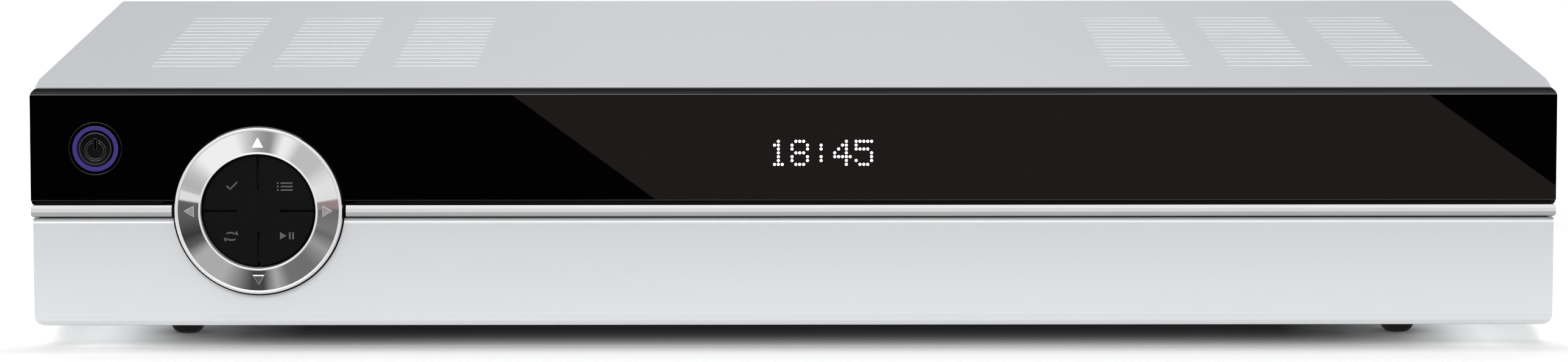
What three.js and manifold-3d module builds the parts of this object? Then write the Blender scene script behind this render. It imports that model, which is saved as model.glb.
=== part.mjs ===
// Satellite television receiver: a flat set-top box with a drop-down flap, a glossy black display
// window and a four-way navigation ring. Millimetres, +X right, +Y to the back, +Z up. The front
// faces -Y, the window's face is Y = 0 while pieces are made, and the feet stand on Z = 0.
import * as THREE from 'three';
import { mergeGeometries, mergeVertices } from 'three/addons/utils/BufferGeometryUtils.js';
import Module from 'manifold-3d';

const wasm = await Module();
wasm.setup();

// Driving dimensions
const width = 370;
const caseHeight = 57.9;
const caseDepth = 245;
const footHeight = 6;
const sheet = 1;
const gap = 0.3;
const over = 1;

// Values of each piece
const flap = {
  height: 26.3,
  inset: 0.5,
  wall: 1.5,
  edgeRadius: 3,
  topRadius: 0.8,
  cornerRadius: 3.3,
  lugLength: 4,
  lugFace: 1,
  pinRadius: 1.2,
  armWidth: 3.4,
  returnWidth: 0.8,
  returnDepth: 2.4,
  ribDepth: 1.4,
  ribWidth: 1.2,
  ribCount: 9,
};
const strip = { height: 2.6, shadowGap: 0.3, depth: 3.9, nose: 0.5, edge: 0.8, endRadius: 0.8 };
const pane = { thickness: 4, topRound: 1.6, bottomChamfer: 1, cornerRadius: 2 };
const fascia = { skin: 2, depth: 14.2, recessDepth: 4.7, drumGap: 0.4 };
const dial = { fromLeft: 55.2, rise: 0.4, cutGap: 0.7 };
const ring = {
  radius: 20.5,
  bore: 14.1,
  back: 1.5,
  rimProud: 3,
  outerProud: 1.9,
  rimWidth: 0.8,
  rimStep: 0.35,
  faceDrop: 0.3,
  wall: 1.2,
  pocketDepth: 2,
  tailWidth: 5,
  tailEnd: 12.4,
  pivotDepth: 5.5,
  pivotRadius: 0.9,
};
const gimbal = {
  inner: 15.6,
  outer: 17.9,
  thickness: 2.6,
  bossWidth: 4.4,
  pinLength: 1.6,
  boreRadius: 1.2,
};
const drum = { wallInner: 18.7, front: 3.2, floor: 2, back: 12, columnRadius: 13.2, columnFront: 2.7 };
const pad = {
  radius: 13.5,
  hubRadius: 5.2,
  proud: 1.2,
  thickness: 2,
  slit: 0.5,
  postAt: 10,
  postRadius: 1.4,
  postHole: 2.3,
  stemRadius: 2.5,
  stemEnd: 8,
};
const power = {
  fromLeft: 16,
  height: 14.9,
  bezelRadius: 6.4,
  bezelWall: 0.55,
  bezelDepth: 6,
  lightOuter: 5.55,
  lightInner: 4.5,
  lightDepth: 10,
  buttonRadius: 3.97,
  buttonCap: 2,
  stemRadius: 1.6,
  proud: 0.1,
};
const board = { thickness: 1.6, standoff: 6, standoffRadius: 2.5, switchSize: 6, switchHeight: 3.6 };
const display = { width: 76, height: 14, front: 6.6, glass: 1.2, centre: 7.1, above: 7.2, frontInset: 3 };
const frontBoard = { lower: 5.5, upper: 2.2, right: 62, tongueHalf: 22, tongueBottom: 21.4 };
const foot = { radius: 7, tread: 3.4, inset: 35, front: 33.5, rear: 35, plugRadius: 2.2, plugHeight: 2.4 };
const screw = {
  head: 3,
  headHeight: 1.7,
  shank: 1.5,
  length: 5,
  hole: 1.8,
  front: 40,
  rear: 24,
  height: 4.4,
};
const cover = {
  cornerRadius: 3.6,
  lip: 8,
  slotLength: 21.7,
  slotWidth: 2.2,
  sideSlotLength: 16,
  sideSlots: 12,
  sidePitch: 6,
};
const tray = { flange: 12, front: 6.6, rearFlange: 7, ventWidth: 3, ventLength: 30 };
const driveBox = { width: 101.6, length: 147, height: 26.1, inset: 9, front: 24, edge: 2, lid: 1.5 };
const bracket = { leg: 5, foot: 9, armLength: 12 };
const cage = { width: 58, depth: 88, wall: 1, bay: 5.6, bayWidth: 54.6, rail: 1.2 };
const reader = { width: 58, depth: 50, height: 6, slot: 1.4, slotWidth: 55, slotDepth: 40, mouth: 1.2 };
const sinkValues = { size: 40, base: 3, height: 14, fins: 9, finWidth: 1.2 };
const transformer = { width: 34, depth: 30, height: 27, core: 8, coil: 3 };
const capacitor = { radius: 9, height: 32, groove: 1 };
const plateSink = { length: 50, thickness: 2.5, height: 34, fin: 8, fins: 5 };
const tuner = { width: 32, height: 18, nut: 5.5, nutDepth: 2, barrel: 4.75, barrelLength: 10.3 };
const tunerBore = { radius: 2.4, depth: 8, offset: 7.6 };
const phono = {
  columns: 3,
  rows: 2,
  pitchX: 12.5,
  pitchZ: 13,
  barrel: 4.2,
  length: 8,
  bore: 1.7,
  boreDepth: 9,
};
const hdmi = {
  width: 15,
  height: 5.6,
  depth: 12,
  wall: 0.5,
  cavity: 9,
  chamfer: 1.4,
  proud: 0.6,
  tongue: 1,
};
const lan = {
  width: 16.5,
  height: 13.5,
  depth: 21,
  jackWidth: 11.8,
  jackHeight: 8,
  jackDepth: 13,
  latch: 5,
};
const usb = { width: 14, height: 6.6, depth: 15, wall: 0.6, cavity: 11, tongue: 1.9, tongueWidth: 10.6 };
const serial = {
  flangeWidth: 31,
  height: 12.5,
  shellWidth: 17.6,
  shellHeight: 9,
  proud: 6,
  wall: 0.5,
  depth: 11,
};
const serialPins = { radius: 0.5, pitch: 2.77, rowHalf: 1.42, upper: 5, lower: 4, length: 5 };
const scart = {
  width: 46,
  height: 14.5,
  depth: 20,
  plugWidth: 40,
  plugHeight: 9,
  groove: 1.6,
  grooveDepth: 8,
};
const inlet = {
  width: 24,
  height: 16,
  depth: 18,
  flange: 1.2,
  rim: 2,
  lobe: 3.7,
  pinAt: 4.3,
  cavity: 11,
  pin: 1.2,
};
const mainsSwitch = { width: 15, height: 23, flange: 1.2, depth: 14, rim: 1.4 };
const rocker = {
  width: 10.4,
  half: 8.2,
  pivot: 2.5,
  crown: 2.2,
  dip: 1.3,
  tilt: 8,
  pinRadius: 1,
  pinLength: 1,
};
const ribbon = { width: 24, thickness: 0.6, start: 8, rise: 12, run: 46 };
const wires = { radius: 2, arch: 12 };

// Shares of the case that place what has no size of its own
const shares = {
  ventCentres: [0.243, 0.3245, 0.4065],
  ventRows: [0.234, 0.788],
  sideVent: 0.62,
  inlet: -0.8,
  mainsSwitch: -0.63,
  serial: -0.465,
  scart: -0.22,
  phono: 0.045,
  tunerA: 0.665,
  tunerB: 0.875,
  cage: 0.03,
  reader: -0.36,
  usbFront: 0.27,
  boardLeft: -0.55,
  boardRight: 0.315,
  supplyRight: -0.6,
};

// Shares of a piece's own sizes
const formShares = {
  footTread: 0.9,
  footRound: 0.1,
  inletWaist: 1.6,
  rockerKnee: 0.7,
  rockerBelly: 0.85,
  sinkAlongBoard: 1.6,
  driveBoard: 0.6,
  driveConnector: [1 / 3, 0.8],
  fuse: [0.72, 0.8],
  transformer: 0.3,
  capacitor: 0.58,
  tunerInRearRoom: 0.72,
};

// Chips on the main board: place, width and depth by the heat sink's size, height by the chip's.
const chipShares = [
  [0, 0, 0.8, 0.8, 1],
  [0.96, -0.187, 0.267, 0.373, 0.5],
  [0.96, 0.293, 0.267, 0.373, 0.5],
  [-0.88, 0, 0.427, 0.427, 0.5],
];

// Places that several pieces share
const halfWidth = width / 2;
const top = footHeight + caseHeight;
const coverHalf = halfWidth - gap;
const innerHalf = coverHalf - sheet - gap;
const innerTop = top - sheet - gap;
const trayUnder = footHeight + gap;
const trayTop = trayUnder + sheet;
const floorZ = trayTop + gap;
const boardUnder = trayTop + board.standoff + gap;
const boardTop = boardUnder + board.thickness;
const partsZ = boardTop + gap;
const flapTop = footHeight + flap.height;
const stripBottom = flapTop + strip.shadowGap;
const stripTop = stripBottom + strip.height;
const paneBottom = stripTop + gap;
const axisY = flap.edgeRadius;
const axisZ = footHeight + flap.edgeRadius;
const dialX = dial.fromLeft - halfWidth;
const stripMiddle = (stripBottom + stripTop) / 2;
const dialZ = stripMiddle + dial.rise;
const dialCut = ring.radius + dial.cutGap;
const powerX = power.fromLeft - halfWidth;
const powerZ = dialZ + power.height;
const fasciaFront = pane.thickness + gap;
const fasciaBack = fasciaFront + fascia.depth;
const recessWall = fasciaFront + fascia.recessDepth;
const frontBoardY = ring.tailEnd + 2 * gap + board.switchHeight;
const panelOut = caseDepth - sheet - gap;
const panelIn = panelOut - sheet;
const driveY0 = fasciaBack + driveBox.front - board.standoff;
const driveRear = driveY0 + driveBox.length;
const tunerDepth = (panelOut - driveRear) * formShares.tunerInRearRoom;
const displayX = display.centre;
const displayZ = dialZ + display.above + display.height / 2 - gap;

// Finishes
function finish(color, roughness, metalness) {
  return new THREE.MeshStandardMaterial({ color, roughness, metalness, flatShading: true });
}
const silverPaint = finish(0xc9ccce, 0.45, 0.3);
const silverPlastic = finish(0xdcdde0, 0.4, 0.1);
const blackGloss = finish(0x050505, 0.05, 0);
const blackPlastic = finish(0x161616, 0.6, 0);
const chrome = finish(0xe6e6e6, 0.08, 1);
const zincSteel = finish(0xa9adb0, 0.4, 0.9);
const violetLight = finish(0x5038a0, 0.3, 0);
const rubber = finish(0x101010, 0.85, 0);
const greenBoard = finish(0x1f5a36, 0.55, 0);
const darkGlass = finish(0x0b1412, 0.08, 0);
const aluminium = finish(0xb8bbbe, 0.35, 0.95);
const yellowTape = finish(0xc9a227, 0.5, 0);
const blueSleeve = finish(0x1d2c5e, 0.4, 0);
const greyCable = finish(0x8f9296, 0.6, 0);

// The object, centred front to back over its own footprint
const backReach = panelOut + tuner.barrelLength;
const receiver = new THREE.Group();
receiver.name = 'satellite_receiver';
const assembly = new THREE.Group();
assembly.position.y = (ring.rimProud - backReach) / 2;
receiver.add(assembly);

const weld = 1e-4;
const X = new THREE.Vector3(1, 0, 0);
const Y = new THREE.Vector3(0, 1, 0);
const Z = new THREE.Vector3(0, 0, 1);

// A closed three.js geometry as a solid that can be joined and cut.
function solid(geometry) {
  const bare = new THREE.BufferGeometry();
  bare.setAttribute('position', geometry.getAttribute('position').clone());
  if (geometry.index) bare.setIndex(geometry.index.clone());
  const merged = mergeVertices(bare, weld);
  const kept = [];
  const index = merged.index.array;
  for (let i = 0; i < index.length; i += 3) {
    const [a, b, c] = [index[i], index[i + 1], index[i + 2]];
    if (a !== b && b !== c && c !== a) kept.push(a, b, c);
  }
  return new wasm.Manifold(new wasm.Mesh({
    numProp: 3,
    vertProperties: new Float32Array(merged.getAttribute('position').array),
    triVerts: new Uint32Array(kept),
  }));
}

// Adds one named piece, made in the frame of the place it is put at.
function piece(name, material, shape, place = [0, 0, 0], parent = assembly) {
  const { vertProperties, triVerts } = shape.getMesh();
  const geometry = new THREE.BufferGeometry();
  geometry.setAttribute('position', new THREE.BufferAttribute(new Float32Array(vertProperties), 3));
  geometry.setIndex(new THREE.BufferAttribute(new Uint32Array(triVerts), 1));
  geometry.computeVertexNormals();
  const mesh = new THREE.Mesh(geometry, material);
  mesh.name = name;
  mesh.position.set(...place);
  parent.add(mesh);
  return mesh;
}

function join(...shapes) {
  return shapes.reduce((whole, shape) => whole.add(shape));
}

function cut(whole, ...tools) {
  return tools.reduce((rest, tool) => rest.subtract(tool), whole);
}

// A block between two corners.
function block(low, high) {
  const size = high.map((value, i) => value - low[i]);
  const middle = high.map((value, i) => (value + low[i]) / 2);
  return solid(new THREE.BoxGeometry(...size).translate(...middle));
}

// Many blocks that don't touch, as one cutting tool.
function blocks(pairs) {
  const boxes = pairs.map(([low, high]) => {
    const size = high.map((value, i) => value - low[i]);
    const middle = high.map((value, i) => (value + low[i]) / 2);
    return new THREE.BoxGeometry(...size).translate(...middle);
  });
  return solid(mergeGeometries(boxes));
}

// A round bar along an axis, from one place on that axis to another.
function bar(axis, radius, from, to, centre = [0, 0], sides = 16) {
  const geometry = new THREE.CylinderGeometry(radius, radius, to - from, sides);
  geometry.rotateY(Math.PI / sides);
  const middle = (from + to) / 2;
  if (axis === X) geometry.rotateZ(-Math.PI / 2).translate(middle, centre[0], centre[1]);
  if (axis === Y) geometry.translate(centre[0], middle, centre[1]);
  if (axis === Z) geometry.rotateX(Math.PI / 2).translate(centre[0], centre[1], middle);
  return solid(geometry);
}

// A profile of [radius, y] points turned about the Y axis.
function turned(points, sides = 32) {
  const area = points.reduce((sum, [r, y], i) => {
    const [nextR, nextY] = points[(i + 1) % points.length];
    return sum + r * nextY - nextR * y;
  }, 0);
  const ordered = area > 0 ? [...points] : [...points].reverse();
  const closed = [...ordered, ordered[0]].map(([r, y]) => new THREE.Vector2(r, y));
  return solid(new THREE.LatheGeometry(closed, sides));
}

function extruded(shape, depth, basis, offset, curveSegments) {
  const geometry = new THREE.ExtrudeGeometry(shape, { depth, bevelEnabled: false, curveSegments });
  geometry.applyMatrix4(basis);
  return solid(geometry.translate(...offset));
}

// A front view outline in X and Z, with its thickness from y0 to y1.
function frontOutline(shape, y0, y1, curveSegments = 6) {
  const basis = new THREE.Matrix4().makeBasis(X, Z, Y.clone().negate());
  return extruded(shape, y1 - y0, basis, [0, y1, 0], curveSegments);
}

// A side view outline in Y and Z, with its length from x0 to x1.
function sideOutline(shape, x0, x1, curveSegments = 6) {
  const basis = new THREE.Matrix4().makeBasis(Y, Z, X);
  return extruded(shape, x1 - x0, basis, [x0, 0, 0], curveSegments);
}

// A plan outline in X and Y, with its height from z0 to z1.
function planOutline(shape, z0, z1, curveSegments = 6) {
  return extruded(shape, z1 - z0, new THREE.Matrix4(), [0, 0, z0], curveSegments);
}

function polygon(points) {
  return new THREE.Shape(points.map(([u, v]) => new THREE.Vector2(u, v)));
}

// A rectangle with its own radius at the lower and the upper corners.
function roundedRectangle(u0, v0, u1, v1, lower, upper) {
  const shape = new THREE.Shape();
  shape.moveTo(u0 + lower, v0);
  shape.lineTo(u1 - lower, v0);
  shape.absarc(u1 - lower, v0 + lower, lower, -Math.PI / 2, 0);
  shape.lineTo(u1, v1 - upper);
  shape.absarc(u1 - upper, v1 - upper, upper, 0, Math.PI / 2);
  shape.lineTo(u0 + upper, v1);
  shape.absarc(u0 + upper, v1 - upper, upper, Math.PI / 2, Math.PI);
  shape.lineTo(u0, v0 + lower);
  shape.absarc(u0 + lower, v0 + lower, lower, Math.PI, Math.PI * 1.5);
  return shape;
}

// The outline that fits inside the cover, round at its two upper corners.
function insideCover() {
  const r = cover.cornerRadius - sheet - gap;
  const shape = new THREE.Shape();
  shape.moveTo(-innerHalf, floorZ);
  shape.lineTo(innerHalf, floorZ);
  shape.lineTo(innerHalf, innerTop - r);
  shape.absarc(innerHalf - r, innerTop - r, r, 0, Math.PI / 2);
  shape.lineTo(-innerHalf + r, innerTop);
  shape.absarc(-innerHalf + r, innerTop - r, r, Math.PI / 2, Math.PI);
  return shape;
}

// Both sides of the case: -1 is left and 1 is right.
const sides = [-1, 1];

// Case
function topCover() {
  const section = new THREE.Shape();
  const r = cover.cornerRadius;
  const inside = r - sheet;
  section.moveTo(-coverHalf, trayUnder);
  section.lineTo(-coverHalf + sheet, trayUnder);
  section.lineTo(-coverHalf + sheet, top - r);
  section.absarc(-coverHalf + r, top - r, inside, Math.PI, Math.PI / 2, true);
  section.lineTo(coverHalf - r, top - sheet);
  section.absarc(coverHalf - r, top - r, inside, Math.PI / 2, 0, true);
  section.lineTo(coverHalf - sheet, trayUnder);
  section.lineTo(coverHalf, trayUnder);
  section.lineTo(coverHalf, top - r);
  section.absarc(coverHalf - r, top - r, r, 0, Math.PI / 2);
  section.lineTo(-coverHalf + r, top);
  section.absarc(-coverHalf + r, top - r, r, Math.PI / 2, Math.PI);
  const shell = frontOutline(section, fasciaFront, caseDepth, 4);
  const lip = block(
    [-coverHalf + r, caseDepth - sheet, top - cover.lip],
    [coverHalf - r, caseDepth, top - sheet / 2],
  );
  return cut(join(shell, lip), topVents(), sideVents(), hingeRelief(), ...coverScrewHoles());
}

// Six fields of fifteen slots over the power supply and the hard drive.
function topVents() {
  const rows = 15;
  const [firstRow, lastRow] = shares.ventRows;
  const depth = caseDepth - fasciaFront;
  const cuts = [];
  for (const side of sides) {
    for (const share of shares.ventCentres) {
      for (let row = 0; row < rows; row += 1) {
        const x = side * share * width;
        const y = fasciaFront + depth * (firstRow + (lastRow - firstRow) * (row / (rows - 1)));
        cuts.push([
          [x - cover.slotLength / 2, y - cover.slotWidth / 2, top - sheet - over],
          [x + cover.slotLength / 2, y + cover.slotWidth / 2, top + over],
        ]);
      }
    }
  }
  return blocks(cuts);
}

function sideVents() {
  const middle = shares.sideVent * caseDepth;
  const height = (top + trayUnder) / 2;
  const cuts = [];
  for (const side of sides) {
    for (let i = 0; i < cover.sideSlots; i += 1) {
      const y = middle + (i - (cover.sideSlots - 1) / 2) * cover.sidePitch;
      const x = side * (coverHalf - sheet / 2);
      cuts.push([
        [x - sheet, y - cover.slotWidth / 2, height - cover.sideSlotLength / 2],
        [x + sheet, y + cover.slotWidth / 2, height + cover.sideSlotLength / 2],
      ]);
    }
  }
  return blocks(cuts);
}

// The cover's side walls step back round the flap's hinge lugs.
function hingeRelief() {
  const reach = 2 * flap.edgeRadius + gap;
  return block(
    [-halfWidth - over, fasciaFront - over, trayUnder - over],
    [halfWidth + over, reach, footHeight + reach],
  );
}

const sideScrewPlaces = [screw.front, caseDepth - screw.rear];
const sideScrewZ = trayTop + screw.height;
const rearScrewX = halfWidth * shares.tunerB;
const rearScrewZ = top - cover.lip / 2 - sheet / 2;

function sideScrewHoles() {
  const reach = halfWidth + over;
  return sideScrewPlaces.map((y) => bar(X, screw.hole, -reach, reach, [y, sideScrewZ], 12));
}

function coverScrewHoles() {
  const holes = sideScrewHoles();
  const from = caseDepth - sheet - over;
  for (const side of sides) {
    holes.push(bar(Y, screw.hole, from, caseDepth + over, [side * rearScrewX, rearScrewZ], 12));
  }
  return holes;
}

function baseTray() {
  const half = innerHalf;
  const back = panelIn - gap;
  const plate = block([-half, tray.front, trayUnder], [half, back, trayTop]);
  const walls = sides.map((side) => {
    const x = side * (half - sheet / 2);
    return block(
      [x - sheet / 2, fasciaBack + gap, trayUnder],
      [x + sheet / 2, back, trayTop + tray.flange],
    );
  });
  const rear = block([-half, back - sheet, trayUnder], [half, back, trayTop + tray.rearFlange]);
  const posts = standoffPlaces().map(([x, y]) => {
    return bar(Z, board.standoffRadius, trayTop - sheet / 2, trayTop + board.standoff, [x, y], 6);
  });
  const body = join(plate, ...walls, rear, ...posts);
  const plugHoles = footPlaces().map(([x, y]) => {
    return bar(Z, foot.plugRadius + gap, trayUnder - over, trayTop + over, [x, y], 12);
  });
  return cut(body, ...plugHoles, ...sideScrewHoles(), trayVents());
}

// Two rows of slots in the tray under the power supply and the drive.
function trayVents() {
  const count = 6;
  const cuts = [];
  for (const side of sides) {
    for (let i = 0; i < count; i += 1) {
      const y = caseDepth / 2 + (i - (count - 1) / 2) * tray.ventWidth * 3;
      const x = side * halfWidth * shares.tunerA;
      cuts.push([
        [x - tray.ventLength / 2, y - tray.ventWidth / 2, trayUnder - over],
        [x + tray.ventLength / 2, y + tray.ventWidth / 2, trayTop + over],
      ]);
    }
  }
  return blocks(cuts);
}

function footPlaces() {
  const x = halfWidth - foot.inset;
  const rear = caseDepth - foot.rear;
  return [[-x, foot.front], [x, foot.front], [-x, rear], [x, rear]];
}

function footShape() {
  const points = [
    [0, 0],
    [foot.tread * formShares.footTread, 0],
    [foot.tread, footHeight * formShares.footRound],
    [foot.radius, footHeight],
    [foot.plugRadius, footHeight],
    [foot.plugRadius, footHeight + foot.plugHeight],
    [0, footHeight + foot.plugHeight],
  ];
  return turned(points, 12).rotate([90, 0, 0]);
}

function screwShape() {
  const r = screw.head;
  const h = screw.headHeight;
  return turned([
    [0, 0],
    [screw.shank, 0],
    [screw.shank, screw.length],
    [r, screw.length],
    [r, screw.length + h / 2],
    [r / 2, screw.length + h],
    [0, screw.length + h],
  ], 8);
}

// Rear panel sockets: each is made about its own centre on the panel's outer face, where Y = 0.
function boreAlong(radius, from, to, x = 0, z = 0, sidesOfBore = 12) {
  return bar(Y, radius, from, to, [x, z], sidesOfBore);
}

function centred(w, h, y0, y1, x = 0, z = 0) {
  return block([x - w / 2, y0, z - h / 2], [x + w / 2, y1, z + h / 2]);
}

function hdmiSocket() {
  const outline = (w, h) => polygon([
    [-w / 2, h / 2],
    [-w / 2, -h / 2 + hdmi.chamfer],
    [-w / 2 + hdmi.chamfer, -h / 2],
    [w / 2 - hdmi.chamfer, -h / 2],
    [w / 2, -h / 2 + hdmi.chamfer],
    [w / 2, h / 2],
  ]);
  const { width: w, height: h, wall } = hdmi;
  const shell = frontOutline(outline(w, h), -hdmi.depth, hdmi.proud);
  const inner = outline(w - 2 * wall, h - 2 * wall);
  const cavity = frontOutline(inner, hdmi.proud - hdmi.cavity, hdmi.proud + over);
  const tongue = centred(w - 6 * wall, hdmi.tongue, -hdmi.depth + over, 0);
  return join(cut(shell, cavity), tongue);
}

function lanSocket() {
  const body = centred(lan.width, lan.height, -lan.depth, gap);
  const jack = centred(lan.jackWidth, lan.jackHeight, gap - lan.jackDepth, over);
  const low = -lan.jackHeight / 2;
  const latch = block(
    [-lan.latch / 2, gap - lan.jackDepth / 2, low - lan.latch / 3],
    [lan.latch / 2, over, low + lan.latch / 3],
  );
  return cut(body, jack, latch);
}

function usbSocket() {
  const { width: w, height: h, wall } = usb;
  const shell = centred(w, h, -usb.depth, gap);
  const cavity = centred(w - 2 * wall, h - 2 * wall, gap - usb.cavity, over);
  const tongue = centred(usb.tongueWidth, usb.tongue, -usb.depth + over, 0, 0, h / 2 - wall - usb.tongue);
  return join(cut(shell, cavity), tongue);
}

function serialPort() {
  const flange = centred(serial.flangeWidth, serial.height, 0, sheet);
  const body = centred(serial.shellWidth + serial.wall, serial.shellHeight + serial.wall, -serial.depth, 0);
  const shellShape = (grow) => {
    const w = serial.shellWidth / 2 + grow;
    const h = serial.shellHeight / 2 + grow;
    const lean = serial.shellHeight / 6;
    return polygon([[-w, h], [-w + lean, -h], [w - lean, -h], [w, h]]);
  };
  const shell = frontOutline(shellShape(0), 0, serial.proud);
  const hollow = frontOutline(shellShape(-serial.wall), sheet / 2, serial.proud + over);
  const parts = [cut(join(flange, shell), hollow), body];
  const rows = [[serialPins.upper, serialPins.rowHalf], [serialPins.lower, -serialPins.rowHalf]];
  for (const [count, z] of rows) {
    for (let i = 0; i < count; i += 1) {
      const x = (i - (count - 1) / 2) * serialPins.pitch;
      parts.push(boreAlong(serialPins.radius, 0, serialPins.length, x, z, 6));
    }
  }
  const nutX = (serial.flangeWidth - serial.proud) / 2;
  const nuts = sides.map((side) => boreAlong(serial.wall * 5, 0, serial.proud / 2, side * nutX, 0, 6));
  return join(...parts, ...nuts);
}

function scartSocket() {
  const w = scart.plugWidth / 2;
  const h = scart.plugHeight / 2;
  const plug = (grow) => polygon([
    [-w - grow, h + grow],
    [-w - grow, -h - grow],
    [w + grow - h, -h - grow],
    [w + grow, -grow / 2],
    [w + grow, h + grow],
  ]);
  const body = centred(scart.width, scart.height, -scart.depth, gap);
  const moat = frontOutline(plug(0), gap - scart.grooveDepth, over);
  const island = frontOutline(plug(-scart.groove), -scart.grooveDepth - over, 0);
  const contacts = [];
  const count = 7;
  for (let i = 0; i < count; i += 1) {
    const x = (i - (count - 1) / 2) * (scart.plugWidth / (count + 2));
    for (const row of sides) {
      const z = row * scart.plugHeight / 6;
      contacts.push([
        [x - scart.groove / 4, -scart.groove, z - scart.groove / 2],
        [x + scart.groove / 4, over, z + scart.groove / 2],
      ]);
    }
  }
  return cut(join(cut(body, moat), island), blocks(contacts));
}

function phonoBlock(columns) {
  const w = phono.pitchX * columns;
  const h = phono.pitchZ * phono.rows;
  const boreEnd = phono.length - phono.boreDepth;
  let body = centred(w, h, -phono.pitchX, -gap - sheet);
  for (let c = 0; c < columns; c += 1) {
    for (let r = 0; r < phono.rows; r += 1) {
      const x = (c - (columns - 1) / 2) * phono.pitchX;
      const z = (r - (phono.rows - 1) / 2) * phono.pitchZ;
      body = body.add(boreAlong(phono.barrel, -phono.pitchX / 2, phono.length, x, z, 12));
      body = body.subtract(boreAlong(phono.bore, boreEnd, phono.length + over, x, z, 8));
    }
  }
  return body;
}

// Digital audio: a square optical port over a phono socket.
function digitalAudio() {
  const w = phono.pitchX;
  const h = phono.pitchZ * phono.rows;
  const z = phono.pitchZ / 2;
  const body = centred(w, h, -phono.pitchX, -gap - sheet);
  const optical = centred(phono.barrel * 2, phono.barrel * 2, -phono.pitchX / 2, gap, 0, z);
  const port = centred(phono.barrel, phono.barrel, -phono.length / 2, over, 0, z);
  const barrel = boreAlong(phono.barrel, -phono.pitchX / 2, phono.length, 0, -z, 16);
  const bore = boreAlong(phono.bore, phono.length - phono.boreDepth, phono.length + over, 0, -z, 8);
  return cut(join(body, optical, barrel), port, bore);
}

function tunerCan() {
  const can = centred(tuner.width, tuner.height, -tunerDepth, -gap - sheet);
  const parts = [can];
  const bores = [];
  const boreEnd = tuner.barrelLength - tunerBore.depth;
  for (const side of sides) {
    const x = side * tunerBore.offset;
    parts.push(boreAlong(tuner.nut, -over - sheet, tuner.nutDepth, x, 0, 6));
    parts.push(boreAlong(tuner.barrel, -over - sheet, tuner.barrelLength, x, 0, 12));
    bores.push(boreAlong(tunerBore.radius, boreEnd, tuner.barrelLength + over, x, 0, 8));
  }
  return cut(join(...parts), ...bores);
}

function mainsInlet() {
  const plate = centred(inlet.width, inlet.height, 0, inlet.flange);
  const body = centred(inlet.width - 2 * inlet.rim, inlet.height - 2 * inlet.rim, -inlet.depth, 0);
  const eight = inlet.flange - inlet.cavity;
  const front = inlet.flange + over;
  const lobes = sides.map((side) => boreAlong(inlet.lobe, eight, front, side * inlet.pinAt, 0, 16));
  const waist = centred(2 * inlet.pinAt, formShares.inletWaist * inlet.lobe, eight, front);
  const pins = sides.map((side) => boreAlong(inlet.pin, eight - over, 0, side * inlet.pinAt, 0, 10));
  return join(cut(join(plate, body), ...lobes, waist), ...pins);
}

function mainsSwitchFrame() {
  const { width: w, height: h, rim } = mainsSwitch;
  const plate = centred(w, h, 0, mainsSwitch.flange);
  const body = centred(w - 2 * rim, h - 2 * rim, -mainsSwitch.depth, 0);
  const wellHalf = rocker.half + rocker.dip;
  const floor = rocker.half + rocker.pivot;
  const well = centred(rocker.width + 2 * gap, 2 * wellHalf, -floor, mainsSwitch.flange + over);
  const reach = rocker.width / 2 + rocker.pinLength + gap;
  const bores = bar(X, rocker.pinRadius + gap, -reach, reach, [-rocker.pivot, 0], 12);
  return cut(join(plate, body), well, bores);
}

// Tipped about its pins to the side that is off.
function mainsRocker() {
  const h = rocker.half;
  const knee = h * formShares.rockerKnee;
  const profile = polygon([
    [rocker.crown, -h],
    [rocker.crown - rocker.dip, 0],
    [rocker.crown, h],
    [-rocker.dip, h],
    [-knee, h / 2],
    [-h * formShares.rockerBelly, 0],
    [-knee, -h / 2],
    [-rocker.dip, -h],
  ]);
  const body = sideOutline(profile, -rocker.width / 2, rocker.width / 2);
  const reach = rocker.width / 2 + rocker.pinLength;
  const pins = bar(X, rocker.pinRadius, -reach, reach, [-rocker.pivot, 0], 12);
  const about = join(body, pins).translate([0, rocker.pivot, 0]);
  return about.rotate([-rocker.tilt, 0, 0]).translate([0, -rocker.pivot, 0]);
}

// Inlet and mains switch stand on one line.
const inletZ = partsZ + inlet.height;
const mainsSwitchPlace = [
  shares.mainsSwitch * halfWidth,
  panelOut + gap,
  inletZ + (mainsSwitch.height - inlet.height) / 2,
];

// The small sockets stand evenly between the phono block and the first tuner.
const smallSockets = { digital: phono.pitchX, hdmi: hdmi.width, lan: lan.width, usbRear: usb.width };
function smallSocketPlaces() {
  const widths = Object.values(smallSockets);
  const from = shares.phono * halfWidth + (phono.pitchX * phono.columns) / 2;
  const to = shares.tunerA * halfWidth - tuner.width / 2;
  const space = (to - from - widths.reduce((sum, width) => sum + width, 0)) / (widths.length + 1);
  const places = {};
  let x = from;
  for (const [name, width] of Object.entries(smallSockets)) {
    places[name] = x + space + width / 2;
    x += space + width;
  }
  return places;
}

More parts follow.
